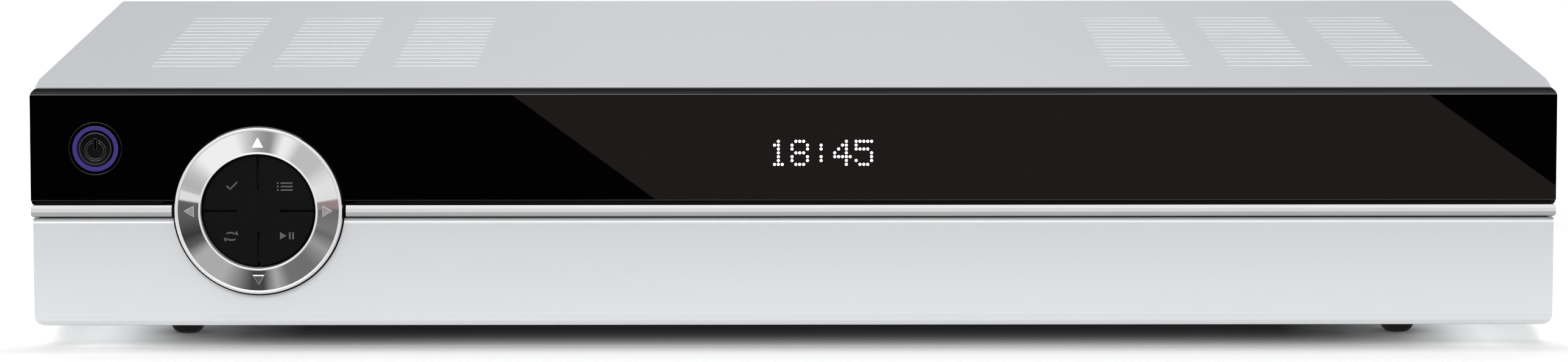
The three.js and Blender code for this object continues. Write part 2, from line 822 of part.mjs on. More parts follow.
// What stands at the rear panel: name, finish, shape, centre and the holes that it needs.
function rearFittings() {
  const small = smallSocketPlaces();
  const put = (x, height) => [x, panelOut, partsZ + height / 2];
  const at = (share, height) => put(share * halfWidth, height);
  const hole = (w, h, x = 0) => [[x - w / 2 - gap, -h / 2 - gap], [x + w / 2 + gap, h / 2 + gap]];
  const phonoHeight = phono.pitchZ * phono.rows;
  const nuts = sides.map((side) => hole(2 * tuner.nut, 2 * tuner.nut, side * tunerBore.offset));
  const scartUpper = partsZ + scart.height * 1.5 + gap;
  return [
    ['serial_port', zincSteel, serialPort(), at(shares.serial, serial.height),
      [hole(serial.shellWidth + serial.wall, serial.shellHeight + serial.wall)]],
    ['scart_lower', blackPlastic, scartSocket(), at(shares.scart, scart.height),
      [hole(scart.width, scart.height)]],
    ['scart_upper', blackPlastic, scartSocket(), [shares.scart * halfWidth, panelOut, scartUpper],
      [hole(scart.width, scart.height)]],
    ['phono_sockets', blackPlastic, phonoBlock(phono.columns), at(shares.phono, phonoHeight),
      [hole(phono.pitchX * 2 + phono.barrel * 2, phono.pitchZ + phono.barrel * 2)]],
    ['digital_audio_sockets', blackPlastic, digitalAudio(), put(small.digital, phonoHeight),
      [hole(phono.barrel * 2, phono.pitchZ + phono.barrel * 2)]],
    ['hdmi_socket', zincSteel, hdmiSocket(), put(small.hdmi, hdmi.height), [hole(hdmi.width, hdmi.height)]],
    ['lan_socket', zincSteel, lanSocket(), put(small.lan, lan.height), [hole(lan.width, lan.height)]],
    ['usb_socket_rear', zincSteel, usbSocket(), put(small.usbRear, usb.height),
      [hole(usb.width, usb.height)]],
    ['tuner_a', zincSteel, tunerCan(), at(shares.tunerA, tuner.height), nuts],
    ['tuner_b', zincSteel, tunerCan(), at(shares.tunerB, tuner.height), nuts],
    ['mains_inlet', blackPlastic, mainsInlet(), [shares.inlet * halfWidth, panelOut + gap, inletZ],
      [hole(inlet.width - 2 * inlet.rim, inlet.height - 2 * inlet.rim)]],
    ['mains_switch_frame', blackPlastic, mainsSwitchFrame(), mainsSwitchPlace,
      [hole(mainsSwitch.width - 2 * mainsSwitch.rim, mainsSwitch.height - 2 * mainsSwitch.rim)]],
  ];
}

function rearPanel(fittings) {
  let panel = frontOutline(insideCover(), panelIn, panelOut, 4);
  for (const [, , , place, holes] of fittings) {
    for (const [low, high] of holes) {
      panel = panel.subtract(block(
        [place[0] + low[0], panelIn - over, place[2] + low[1]],
        [place[0] + high[0], panelOut + over, place[2] + high[1]],
      ));
    }
  }
  const screwHoles = sides.map((side) => {
    return bar(Y, screw.hole, panelIn - over, panelOut + over, [side * rearScrewX, rearScrewZ], 12);
  });
  return cut(panel, ...screwHoles);
}

// Front
function frontFascia() {
  const { skin } = fascia;
  const half = innerHalf;
  const recessTop = flapTop + gap;
  const shell = cut(
    frontOutline(insideCover(), fasciaFront, fasciaBack, 4),
    block(
      [-half + skin, fasciaFront + skin, floorZ + skin],
      [half - skin, fasciaBack + over, innerTop - skin],
    ),
  );
  const tubeBack = frontBoardY - gap;
  const recess = block([-half, fasciaFront, floorZ], [half, recessWall + skin, recessTop + skin]);
  const cavity = block(
    [-half + skin, fasciaFront - over, floorZ + skin],
    [half - skin, recessWall, recessTop],
  );
  const tube = bar(Y, dialCut + skin, fasciaFront, tubeBack, [dialX, dialZ], 32);
  const tubeLow = block(
    [-halfWidth, fasciaFront - over, 0],
    [halfWidth, fasciaBack + over, floorZ + skin / 2],
  );
  const swing = 2 * flap.edgeRadius + gap;
  const lugRoom = block(
    [-halfWidth, fasciaFront - over, trayUnder - over],
    [halfWidth, swing, footHeight + swing],
  );
  const bodyWithRoom = cut(cut(join(shell, recess), cavity), lugRoom);
  const whole = join(bodyWithRoom, cut(tube, tubeLow), ...sides.map(hingeArm));
  return cut(whole, ...fasciaHoles());
}

// An arm that reaches forward from the recess wall and carries the flap's hinge pin.
function hingeArm(side) {
  const outer = halfWidth - flap.inset - flap.lugLength - gap;
  const inner = outer - flap.armWidth;
  const pinEnd = halfWidth - flap.inset - flap.lugFace - gap;
  const r = flap.pinRadius;
  const [x0, x1] = side > 0 ? [inner, outer] : [-outer, -inner];
  const [p0, p1] = side > 0 ? [inner, pinEnd] : [-pinEnd, -inner];
  const riseTop = axisZ + 2 * r + flap.wall;
  return join(
    bar(X, r, p0, p1, [axisY, axisZ], 12),
    block([x0, axisY - r, axisZ], [x1, axisY + r, riseTop]),
    block([x0, axisY - r, axisZ + flap.wall], [x1, recessWall + fascia.skin / 2, riseTop]),
  );
}

function fasciaHoles() {
  const wallEnd = recessWall + fascia.skin + over;
  const skinEnd = fasciaFront + fascia.skin + over;
  const cageX = shares.cage * halfWidth;
  const readerX = shares.reader * halfWidth;
  const usbX = shares.usbFront * halfWidth;
  const slots = cageBays().map(([low, high]) => {
    const half = cage.bayWidth / 2;
    return block([cageX - half, fasciaFront, low], [cageX + half, wallEnd, high]);
  });
  const readerZ = partsZ + reader.height / 2;
  const readerSlot = reader.slot / 2 + reader.mouth;
  return [
    bar(Y, ring.radius + fascia.drumGap, fasciaFront - over, fasciaBack + over, [dialX, dialZ], 32),
    bar(Y, power.bezelRadius + gap, fasciaFront - over, skinEnd, [powerX, powerZ], 24),
    block(
      [displayX - display.width / 2 - gap, fasciaFront - over, displayZ - display.height / 2 - gap],
      [displayX + display.width / 2 + gap, skinEnd, displayZ + display.height / 2 + gap],
    ),
    ...slots,
    block(
      [readerX - reader.slotWidth / 2, fasciaFront, readerZ - readerSlot],
      [readerX + reader.slotWidth / 2, wallEnd, readerZ + readerSlot],
    ),
    block(
      [usbX - usb.width / 2 - gap, fasciaFront, partsZ - gap],
      [usbX + usb.width / 2 + gap, wallEnd, partsZ + usb.height + gap],
    ),
  ];
}

function displayWindow() {
  const { thickness: t, topRound: r, bottomChamfer: c } = pane;
  const section = new THREE.Shape();
  section.moveTo(t, paneBottom);
  section.lineTo(t, top);
  section.lineTo(r, top);
  section.absarc(r, top - r, r, Math.PI / 2, Math.PI);
  section.lineTo(0, paneBottom + c);
  section.lineTo(c, paneBottom);
  const slab = sideOutline(section, -halfWidth, halfWidth, 5);
  const outline = roundedRectangle(-halfWidth, paneBottom, halfWidth, top, c / 2, pane.cornerRadius);
  const shaped = slab.intersect(frontOutline(outline, -over, t + over, 5));
  return cut(
    shaped,
    bar(Y, dialCut, -over, t + over, [dialX, dialZ], 48),
    bar(Y, power.bezelRadius + gap, -over, t + over, [powerX, powerZ], 32),
  );
}

function trimStrip(side) {
  const { depth, nose, edge, endRadius } = strip;
  const section = polygon([
    [depth, stripBottom],
    [depth, stripTop],
    [edge, stripTop],
    [0, stripTop - edge / 2],
    [-nose, stripMiddle],
    [0, stripBottom + edge / 2],
    [edge, stripBottom],
  ]);
  const rail = sideOutline(section, -halfWidth, halfWidth);
  const outline = roundedRectangle(-halfWidth, stripBottom, halfWidth, stripTop, endRadius, endRadius);
  const rounded = rail.intersect(frontOutline(outline, -nose - over, depth + over, 4));
  const far = halfWidth + over;
  const [x0, x1] = side < 0 ? [-far, dialX] : [dialX, far];
  const half = block([x0, -nose - over, stripBottom - over], [x1, depth + over, stripTop + over]);
  return cut(rounded.intersect(half), bar(Y, dialCut, -nose - over, depth + over, [dialX, dialZ], 48));
}

function frontFlap() {
  const half = halfWidth - flap.inset;
  const { wall, edgeRadius: R, topRadius: t } = flap;
  const section = new THREE.Shape();
  section.moveTo(wall, axisZ);
  section.lineTo(wall, flapTop);
  section.lineTo(t, flapTop);
  section.absarc(t, flapTop - t, t, Math.PI / 2, Math.PI);
  section.lineTo(0, axisZ);
  section.absarc(R, axisZ, R, Math.PI, Math.PI * 1.5);
  section.lineTo(R, footHeight + wall);
  section.absarc(R, axisZ, R - wall, Math.PI * 1.5, Math.PI, true);
  const skin = sideOutline(section, -half, half, 3);
  const extras = [];
  for (const side of sides) {
    const [x0, x1] = side > 0 ? [half - flap.lugLength, half] : [-half, -half + flap.lugLength];
    extras.push(bar(X, R, x0, x1, [axisY, axisZ], 16));
    const [r0, r1] = side > 0 ? [half - flap.returnWidth, half] : [-half, -half + flap.returnWidth];
    extras.push(block(
      [r0, wall / 2, axisZ + R - gap],
      [r1, wall + flap.returnDepth, flapTop - t],
    ));
  }
  const outline = roundedRectangle(-half, footHeight, half, flapTop, flap.cornerRadius, gap);
  const shaped = join(skin, ...extras, ...flapRibs(half))
    .intersect(frontOutline(outline, -over, 2 * R + over, 4));
  const bores = sides.map((side) => {
    const [x0, x1] = side > 0
      ? [half - flap.lugLength - over, half - flap.lugFace]
      : [-half + flap.lugFace, -half + flap.lugLength + over];
    return bar(X, flap.pinRadius + gap, x0, x1, [axisY, axisZ], 16);
  });
  return cut(shaped, ...bores, bar(Y, dialCut, -over, 2 * R + over, [dialX, dialZ], 48));
}

// Ribs down the back of the flap, left out where the ring stands.
function flapRibs(half) {
  const ribs = [];
  const pitch = (2 * half) / (flap.ribCount + 1);
  for (let i = 1; i <= flap.ribCount; i += 1) {
    const x = -half + i * pitch;
    if (Math.abs(x - dialX) > dialCut + flap.ribWidth) {
      ribs.push(block(
        [x - flap.ribWidth / 2, flap.wall / 2, axisZ + flap.edgeRadius],
        [x + flap.ribWidth / 2, flap.wall + flap.ribDepth, flapTop - flap.wall],
      ));
    }
  }
  return ribs;
}

// Navigation ring, made about its own centre, with Y = 0 at the window's face.
function navRing() {
  const { radius: R, bore, back, rimProud, outerProud, rimWidth, rimStep, faceDrop, wall } = ring;
  const middle = (R + bore) / 2;
  const body = turned([
    [R, back],
    [R, -outerProud + rimStep],
    [R - rimStep, -outerProud],
    [R - rimWidth, -outerProud],
    [R - rimWidth - rimStep, -outerProud + faceDrop],
    [middle, -(outerProud + rimProud) / 2 + faceDrop / 2],
    [bore + rimWidth, -rimProud + faceDrop],
    [bore + rimWidth - rimStep / 2, -rimProud],
    [bore + rimStep / 2, -rimProud],
    [bore, -rimProud + rimStep],
    [bore, back],
    [bore + wall, back],
    [bore + wall, back - ring.pocketDepth],
    [R - wall, back - ring.pocketDepth],
    [R - wall, back],
  ], 36);
  const tailInner = bore + gap / 5;
  const tail = block(
    [-ring.tailWidth / 2, back - ring.pocketDepth / 2, tailInner],
    [ring.tailWidth / 2, ring.tailEnd, bore + wall],
  );
  const tails = [0, 1, 2, 3].map((turn) => tail.rotate([0, turn * 90, 0]));
  const pinEnd = gimbal.outer - 2 * gap;
  const pins = sides.map((side) => {
    const [z0, z1] = side > 0 ? [bore + wall / 2, pinEnd] : [-pinEnd, -bore - wall / 2];
    return bar(Z, ring.pivotRadius, z0, z1, [0, ring.pivotDepth], 10);
  });
  return join(body, ...tails, ...pins);
}

// The frame between drum and ring: it tips up and down, and the ring tips left and right on it.
function rockerFrame() {
  const { inner, outer, thickness, bossWidth } = gimbal;
  const y0 = ring.pivotDepth - thickness / 2;
  const y1 = ring.pivotDepth + thickness / 2;
  const band = turned([[inner, y0], [outer, y0], [outer, y1], [inner, y1]], 28);
  const bossDepth = bossWidth / 2;
  const bosses = sides.map((side) => {
    const [z0, z1] = side > 0 ? [inner, outer - gap] : [-outer + gap, -inner];
    return block(
      [-bossWidth / 2, ring.pivotDepth - bossDepth, z0],
      [bossWidth / 2, ring.pivotDepth + bossDepth, z1],
    );
  });
  const trunnions = sides.map((side) => {
    const far = outer + gimbal.pinLength;
    const [x0, x1] = side > 0 ? [inner + gap, far] : [-far, -inner - gap];
    return bar(X, ring.pivotRadius, x0, x1, [ring.pivotDepth, 0], 10);
  });
  const bore = bar(Z, gimbal.boreRadius, -outer - over, outer + over, [0, ring.pivotDepth], 12);
  return cut(join(band, ...bosses, ...trunnions), bore);
}

function dialDrum() {
  const outer = ring.radius + fascia.drumGap - gap;
  const { wallInner, front, back, floor, columnRadius, columnFront } = drum;
  const body = turned([
    [0, columnFront],
    [columnRadius, columnFront],
    [columnRadius, back - floor],
    [wallInner, back - floor],
    [wallInner, front],
    [outer, front],
    [outer, back],
    [0, back],
  ], 28);
  const trunnionBore = bar(X, gimbal.boreRadius, -outer - over, outer + over, [ring.pivotDepth, 0], 12);
  const columnKept = turned([
    [0, columnFront + gap],
    [columnRadius - gap, columnFront + gap],
    [columnRadius - gap, back - gap],
    [0, back - gap],
  ], 20);
  const room = 2 * gap;
  const slot = block(
    [-ring.tailWidth / 2 - room, columnFront - over, columnRadius - gap],
    [ring.tailWidth / 2 + room, back + over, ring.bore + ring.wall + room],
  );
  const slots = [0, 1, 2, 3].map((turn) => slot.rotate([0, turn * 90, 0]));
  const from = columnFront - over;
  const posts = petalPlaces().map((place) => bar(Y, pad.postHole, from, back + over, place, 12));
  const stem = bar(Y, pad.stemRadius + gap, from, pad.stemEnd + gap, [0, 0], 16);
  return cut(join(cut(body, trunnionBore, ...slots), columnKept), ...posts, stem);
}

// Post centres of the four petal keys: upper left, upper right, lower left, lower right.
function petalPlaces() {
  const reach = pad.postAt * Math.SQRT1_2;
  return [[-reach, reach], [reach, reach], [-reach, -reach], [reach, -reach]];
}

function petalKey([x, z]) {
  const front = -pad.proud;
  const back = front + pad.thickness;
  const leaf = turned([
    [pad.hubRadius + gap, front],
    [pad.radius, front],
    [pad.radius, back],
    [pad.hubRadius + gap, back],
  ], 48);
  const [sx, sz] = [Math.sign(x), Math.sign(z)];
  const near = pad.slit / 2;
  const far = pad.radius + over;
  const low = [Math.min(sx * near, sx * far), front - over, Math.min(sz * near, sz * far)];
  const high = [Math.max(sx * near, sx * far), back + over, Math.max(sz * near, sz * far)];
  const post = bar(Y, pad.postRadius, back - gap, ring.tailEnd, [x, z], 10);
  return join(leaf.intersect(block(low, high)), post);
}

function padHub() {
  const front = -pad.proud;
  const back = front + pad.thickness;
  return join(
    bar(Y, pad.hubRadius, front, back, [0, 0], 32),
    bar(Y, pad.stemRadius, back - gap, pad.stemEnd, [0, 0], 16),
  );
}

// Power button parts, made about the button's centre.
function powerButton() {
  const r = power.buttonRadius;
  const front = -power.proud;
  return turned([
    [0, front],
    [r - gap, front],
    [r, front + gap],
    [r, power.buttonCap],
    [power.stemRadius, power.buttonCap],
    [power.stemRadius, ring.tailEnd],
    [0, ring.tailEnd],
  ], 24);
}

function tubeAlongY(outer, inner, y0, y1, sidesOfTube = 24) {
  return turned([[inner, y0], [outer, y0], [outer, y1], [inner, y1]], sidesOfTube);
}

// Front circuit board with its nine push switches.
function frontBoardShape() {
  const left = -innerHalf + fascia.skin + gap;
  const bottom = flapTop + gap + fascia.skin + frontBoard.lower;
  const upper = innerTop - fascia.skin - frontBoard.upper;
  const tongueLeft = dialX - frontBoard.tongueHalf;
  const tongueRight = dialX + frontBoard.tongueHalf;
  const tongueBottom = dialZ - frontBoard.tongueBottom;
  const outline = polygon([
    [left, bottom],
    [tongueLeft, bottom],
    [tongueLeft, tongueBottom],
    [tongueRight, tongueBottom],
    [tongueRight, bottom],
    [frontBoard.right, bottom],
    [frontBoard.right, upper],
    [left, upper],
  ]);
  const y0 = frontBoardY;
  const card = frontOutline(outline, y0, y0 + board.thickness);
  const tailAt = ring.bore + ring.wall / 2;
  const ringPlaces = [[0, tailAt], [0, -tailAt], [tailAt, 0], [-tailAt, 0]];
  const places = [...petalPlaces(), ...ringPlaces].map(([x, z]) => [x + dialX, z + dialZ]);
  places.push([powerX, powerZ]);
  const half = board.switchSize / 2;
  const switches = places.map(([x, z]) => join(
    block([x - half, y0 - board.switchHeight + gap, z - half], [x + half, y0 + gap, z + half]),
    bar(Y, half / 2, y0 - board.switchHeight, y0, [x, z], 8),
  ));
  return join(card, ...switches);
}

function displayModule() {
  const halfW = display.width / 2;
  const halfH = display.height / 2;
  const back = frontBoardY - gap;
  const inset = display.frontInset;
  return join(
    block(
      [displayX - halfW, display.front, displayZ - halfH],
      [displayX + halfW, display.front + display.glass, displayZ + halfH],
    ),
    block(
      [displayX - halfW + inset, display.front, displayZ - halfH + gap],
      [displayX + halfW - inset, back, displayZ + halfH - gap],
    ),
  );
}

// Inside
const boardLeft = shares.boardLeft * halfWidth;
const boardRight = shares.boardRight * halfWidth;
const boardFront = fasciaBack + 2 * board.thickness;
const boardBack = panelIn - sheet - 2 * gap - board.thickness;
const rearStripFront = boardBack - tunerDepth - board.standoffRadius;
const trayWall = innerHalf - sheet - 2 * gap;
const supplyLeft = -trayWall;
const supplyRight = shares.supplyRight * halfWidth;
const supplyFront = caseDepth * shares.ventRows[0];

function standoffPlaces() {
  const edge = board.standoffRadius + board.thickness;
  const places = [
    [boardLeft + edge, boardFront + edge],
    [boardRight - edge, boardFront + edge],
    [boardLeft + edge, boardBack - edge],
    [boardRight - edge, rearStripFront - edge],
    [trayWall - edge, rearStripFront + edge],
    [trayWall - edge, boardBack - edge],
    [supplyLeft + edge, supplyFront + edge],
    [supplyRight - edge, supplyFront + edge],
    [supplyLeft + edge, boardBack - edge],
    [supplyRight - edge, boardBack - edge],
  ];
  return places;
}

// The main board is L shaped: its rear strip runs behind the drive to the tuners.
function mainBoard() {
  const outline = polygon([
    [boardLeft, boardFront],
    [boardRight, boardFront],
    [boardRight, rearStripFront],
    [trayWall, rearStripFront],
    [trayWall, boardBack],
    [boardLeft, boardBack],
  ]);
  const card = planOutline(outline, boardUnder, boardTop);
  return join(card, ...chipShares.map(chip));
}

const chipHeight = 2.4;
const sinkX = boardLeft + sinkValues.size * formShares.sinkAlongBoard;
const sinkY = boardFront + cage.depth + sinkValues.size;

function chip([x, y, w, d, h]) {
  const { size } = sinkValues;
  return block(
    [sinkX + (x - w / 2) * size, sinkY + (y - d / 2) * size, boardTop - gap],
    [sinkX + (x + w / 2) * size, sinkY + (y + d / 2) * size, boardTop + h * chipHeight],
  );
}

function mainHeatsink() {
  const { size, base, height, fins, finWidth } = sinkValues;
  const z0 = boardTop + chipHeight + gap;
  const parts = [block([-size / 2, -size / 2, z0], [size / 2, size / 2, z0 + base])];
  for (let i = 0; i < fins; i += 1) {
    const x = -size / 2 + (i * (size - finWidth)) / (fins - 1);
    parts.push(block([x, -size / 2, z0 + base / 2], [x + finWidth, size / 2, z0 + height]));
  }
  return join(...parts);
}

// Heights of the two module bays, from low to high.
function cageBays() {
  const first = partsZ + cage.wall;
  const second = first + cage.bay + cage.wall;
  return [[first, first + cage.bay], [second, second + cage.bay]];
}

function cardCage() {
  const x = cage.width / 2;
  const y0 = recessWall + fascia.skin + gap;
  const y1 = y0 + cage.depth;
  const height = 3 * cage.wall + 2 * cage.bay;
  const body = block([-x, y0, partsZ], [x, y1, partsZ + height]);
  const bays = cageBays().map(([low, high]) => {
    const half = cage.bayWidth / 2;
    return block([-half, y0 - over, low], [half, y1 - cage.wall * 3, high]);
  });
  const lighten = block(
    [-cage.bayWidth / 2 + cage.rail * 6, y0 + cage.rail * 8, partsZ + height - cage.wall - gap / 2],
    [cage.bayWidth / 2 - cage.rail * 6, y1 - cage.rail * 16, partsZ + height + over],
  );
  return cut(body, ...bays, lighten);
}

function smartcardReader() {
  const y0 = recessWall + fascia.skin + gap;
  const x = reader.width / 2;
  const z = partsZ + reader.height / 2;
  const body = block([-x, y0, partsZ], [x, y0 + reader.depth, partsZ + reader.height]);
  const slot = block(
    [-reader.slotWidth / 2, y0 - over, z - reader.slot / 2],
    [reader.slotWidth / 2, y0 + reader.slotDepth, z + reader.slot / 2],
  );
  const window = block(
    [-reader.slotWidth / 4, y0 + reader.slotDepth / 3, z],
    [reader.slotWidth / 4, y0 + reader.slotDepth, partsZ + reader.height + over],
  );
  return cut(body, slot, window);
}

function usbFrontSocket() {
  return usbSocket().rotate([0, 0, 180]);
}

const driveX0 = trayWall - driveBox.inset - driveBox.width + gap;
const bracketZ = trayTop + bracket.leg + gap;
const driveZ = bracketZ + sheet + gap;

function hardDrive() {
  const { width: w, length: l, height: h, edge, lid } = driveBox;
  const body = block([0, 0, 0], [w, l, h - lid]);
  const outline = roundedRectangle(edge, edge, w - edge, l - edge * 2, edge * 2, edge * 6);
  const cap = planOutline(outline, h - lid - gap, h, 4);
  const [plugFrom, plugTo] = formShares.driveConnector;
  const boardBelow = block([edge, edge * 3, -over], [w - edge, l * formShares.driveBoard, edge / 2]);
  const connector = block([w * plugFrom, l - edge * 3, -over], [w * plugTo, l + over, edge * 2]);
  return cut(join(body, cap), boardBelow, connector);
}

// A sheet saddle with four legs that carries the drive above the tray.
function driveBracket() {
  const { width: w, length: l } = driveBox;
  const z0 = bracketZ;
  const saddle = block([0, 0, z0], [w, l, z0 + sheet]);
  const lighten = block(
    [bracket.armLength * 2, bracket.armLength * 2, z0 - over],
    [w - bracket.armLength * 2, l - bracket.armLength * 2, z0 + sheet + over],
  );
  const legs = [];
  for (const x of [0, w - bracket.foot]) {
    for (const y of [0, l - bracket.armLength]) {
      legs.push(block([x, y, floorZ], [x + bracket.foot, y + bracket.armLength, floorZ + sheet]));
      const inner = x === 0 ? bracket.foot - sheet : 0;
      legs.push(block(
        [x + inner, y, floorZ],
        [x + inner + sheet, y + bracket.armLength, z0 + sheet / 2],
      ));
    }
  }
  return join(cut(saddle, lighten), ...legs);
}

const supplyMiddle = (supplyLeft + supplyRight) / 2;
const supplySpan = boardBack - supplyFront;

function supplyBoard() {
  const card = block([supplyLeft, supplyFront, boardUnder], [supplyRight, boardBack, boardTop]);
  const [from, to] = formShares.fuse;
  const fuse = block(
    [supplyMiddle - transformer.core, supplyFront + supplySpan * from, boardTop - gap],
    [supplyMiddle + transformer.core, supplyFront + supplySpan * to, boardTop + transformer.core],
  );
  return join(card, fuse);
}

function supplyTransformer() {
  const { width: w, depth: d, height: h, core, coil } = transformer;
  const z = partsZ;
  const coreBody = block([-w / 2, -core / 2, z + coil], [w / 2, core / 2, z + h - coil]);
  const winding = block(
    [(core - w) / 2, -d / 2, z + coil * 2],
    [(w - core) / 2, d / 2, z + h - coil * 2],
  );
  const bobbin = block([-w / 2 + coil, -d / 2 + coil, z], [w / 2 - coil, d / 2 - coil, z + h]);
  return join(coreBody, winding, bobbin);
}

function supplyCapacitor() {
  const { radius: r, height: h, groove } = capacitor;
  return turned([
    [0, 0],
    [r - groove / 2, 0],
    [r, groove],
    [r, groove * 3],
    [r - groove / 2, groove * 4],
    [r, groove * 5],
    [r, h - groove / 2],
    [r - groove, h],
    [0, h],
  ], 16).rotate([90, 0, 0]);
}

function supplyHeatsink() {
  const { length, thickness, height, fin, fins } = plateSink;
  const parts = [block([0, 0, partsZ], [thickness, length, partsZ + height])];
  for (let i = 0; i < fins; i += 1) {
    const z = partsZ + (i * (height - thickness)) / (fins - 1);
    parts.push(block([thickness / 2, 0, z], [thickness + fin, length, z + thickness / 2]));
  }
  return join(...parts);
}

// Cables that the case holds all the way
function flatCable(points, span, thickness) {
  const curve = new THREE.CatmullRomCurve3(points.map(([y, z]) => new THREE.Vector3(0, y, z)));
  const steps = 14;
  const upper = [];
  const lower = [];
  for (let i = 0; i <= steps; i += 1) {
    const at = curve.getPoint(i / steps);
    const along = curve.getTangent(i / steps);
    const side = new THREE.Vector2(-along.z, along.y).multiplyScalar(thickness / 2);
    upper.push([at.y + side.x, at.z + side.y]);
    lower.push([at.y - side.x, at.z - side.y]);
  }
  return sideOutline(polygon([...upper, ...lower.reverse()]), -span / 2, span / 2);
}

function frontRibbon() {
  const y0 = frontBoardY + board.thickness + gap;
  const z0 = dialZ + ribbon.rise;
  const y1 = y0 + ribbon.run;
  return flatCable([
    [y0, z0],
    [y0 + ribbon.start, z0],
    [y1 - ribbon.start * 2, z0 - ribbon.start / 2],
    [y1 - ribbon.start / 4, z0 - ribbon.rise],
    [y1, partsZ],
  ], ribbon.width, ribbon.thickness);
}

function driveCable() {
  const y0 = driveRear + gap;
  const z0 = driveZ + board.standoff;
  const y1 = rearStripFront + board.standoff;
  return flatCable([
    [y0, z0],
    [y0 + (y1 - y0) / 3, z0 + board.thickness],
    [y1 - board.thickness, z0 + board.thickness],
    [y1, partsZ],
  ], ribbon.width / 2, ribbon.thickness * 2);
}

function supplyHarness() {
  const reach = (boardLeft - supplyRight) / 2 + 2 * board.standoffRadius;
  const path = new THREE.CatmullRomCurve3([
    new THREE.Vector3(-reach, 0, partsZ),
    new THREE.Vector3(-reach, 0, partsZ + wires.arch / 2),
    new THREE.Vector3(0, 0, partsZ + wires.arch),
    new THREE.Vector3(reach, 0, partsZ + wires.arch / 2),
    new THREE.Vector3(reach, 0, partsZ),
  ]);
  const section = new THREE.Shape();
  section.absarc(0, 0, wires.radius, 0, Math.PI * 2);
  const geometry = new THREE.ExtrudeGeometry(section, {
    steps: 12,
    extrudePath: path,
    curveSegments: 4,
    bevelEnabled: false,
  });
  return solid(geometry);
}

// Assembly
const fittings = rearFittings();
piece('base_tray', zincSteel, baseTray());
piece('rear_panel', zincSteel, rearPanel(fittings));
piece('top_cover', silverPaint, topCover());
piece('front_fascia', blackPlastic, frontFascia());
piece('display_window', blackGloss, displayWindow());
piece('trim_strip_left', chrome, trimStrip(-1));
piece('trim_strip_right', chrome, trimStrip(1));
piece('front_flap', silverPlastic, frontFlap());
for (const [name, material, shape, place] of fittings) piece(name, material, shape, place);
piece('mains_rocker', blackPlastic, mainsRocker(), mainsSwitchPlace);

const footNames = ['foot_front_left', 'foot_front_right', 'foot_rear_left', 'foot_rear_right'];
footPlaces().forEach(([x, y], i) => piece(footNames[i], rubber, footShape(), [x, y, 0]));

sides.forEach((side) => {
  const end = side < 0 ? 'left' : 'right';
  sideScrewPlaces.forEach((y, i) => {
    const where = i === 0 ? 'front' : 'rear';
    const reach = coverHalf + gap - screw.length;
    const turnedShape = screwShape().rotate([0, 0, side < 0 ? 90 : -90]);
    piece(`cover_screw_${end}_${where}`, zincSteel, turnedShape, [side * reach, y, sideScrewZ]);
  });
  piece(`cover_screw_back_${end}`, zincSteel, screwShape(), [
    side * rearScrewX,
    caseDepth + gap - screw.length,
    rearScrewZ,
  ]);
});

const dialGroup = new THREE.Group();
dialGroup.position.set(dialX, 0, dialZ);
assembly.add(dialGroup);
piece('dial_drum', blackPlastic, dialDrum(), [0, 0, 0], dialGroup);
piece('nav_rocker_frame', blackPlastic, rockerFrame(), [0, 0, 0], dialGroup);
piece('nav_ring', chrome, navRing(), [0, 0, 0], dialGroup);
piece('pad_hub', blackPlastic, padHub(), [0, 0, 0], dialGroup);
const keyNames = ['key_upper_left', 'key_upper_right', 'key_lower_left', 'key_lower_right'];
petalPlaces().forEach((place, i) => {
  piece(keyNames[i], blackPlastic, petalKey(place), [0, 0, 0], dialGroup);
});

const powerGroup = new THREE.Group();
powerGroup.position.set(powerX, 0, powerZ);
assembly.add(powerGroup);
const bezelInner = power.bezelRadius - power.bezelWall;
const bezel = tubeAlongY(power.bezelRadius, bezelInner, -power.proud, power.bezelDepth);
const lightGuide = tubeAlongY(power.lightOuter, power.lightInner, -power.proud, power.lightDepth);
piece('power_surround', blackGloss, bezel, [0, 0, 0], powerGroup);
piece('power_light_ring', violetLight, lightGuide, [0, 0, 0], powerGroup);
piece('power_button', blackPlastic, powerButton(), [0, 0, 0], powerGroup);

piece('front_board', greenBoard, frontBoardShape());
piece('display_module', darkGlass, displayModule());
piece('main_board', greenBoard, mainBoard());
piece('main_heatsink', aluminium, mainHeatsink(), [sinkX, sinkY, 0]);
piece('card_cage', zincSteel, cardCage(), [shares.cage * halfWidth, 0, 0]);
piece('smartcard_reader', blackPlastic, smartcardReader(), [shares.reader * halfWidth, 0, 0]);
piece('usb_socket_front', zincSteel, usbFrontSocket(), [
  shares.usbFront * halfWidth,
  recessWall + sheet,
  partsZ + usb.height / 2,
]);
piece('hard_drive', aluminium, hardDrive(), [driveX0, driveY0, driveZ]);
piece('drive_bracket', zincSteel, driveBracket(), [driveX0, driveY0, 0]);
piece('psu_board', greenBoard, supplyBoard());
piece('psu_transformer', yellowTape, supplyTransformer(), [
  supplyMiddle + transformer.core,
  supplyFront + supplySpan * formShares.transformer,
  0,
]);
piece('psu_capacitor', blueSleeve, supplyCapacitor(), [
  supplyMiddle - transformer.core,
  supplyFront + supplySpan * formShares.capacitor,
  partsZ,
]);
piece('psu_heatsink', aluminium, supplyHeatsink(), [
  supplyLeft + transformer.coil,
  supplyFront + transformer.core,
  0,
]);
piece('front_ribbon', greyCable, frontRibbon(), [shares.reader * halfWidth, 0, 0]);
piece('drive_cable', greyCable, driveCable(), [driveX0 + ribbon.run / 3, 0, 0]);
piece('psu_harness', greyCable, supplyHarness(), [
  (boardLeft + supplyRight) / 2,
  supplyFront + supplySpan / 2,
  0,
]);

export default receiver;
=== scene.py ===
"""Satellite television receiver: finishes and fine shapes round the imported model."""
import math

import bmesh
import bpy
from mathutils import Matrix, Vector


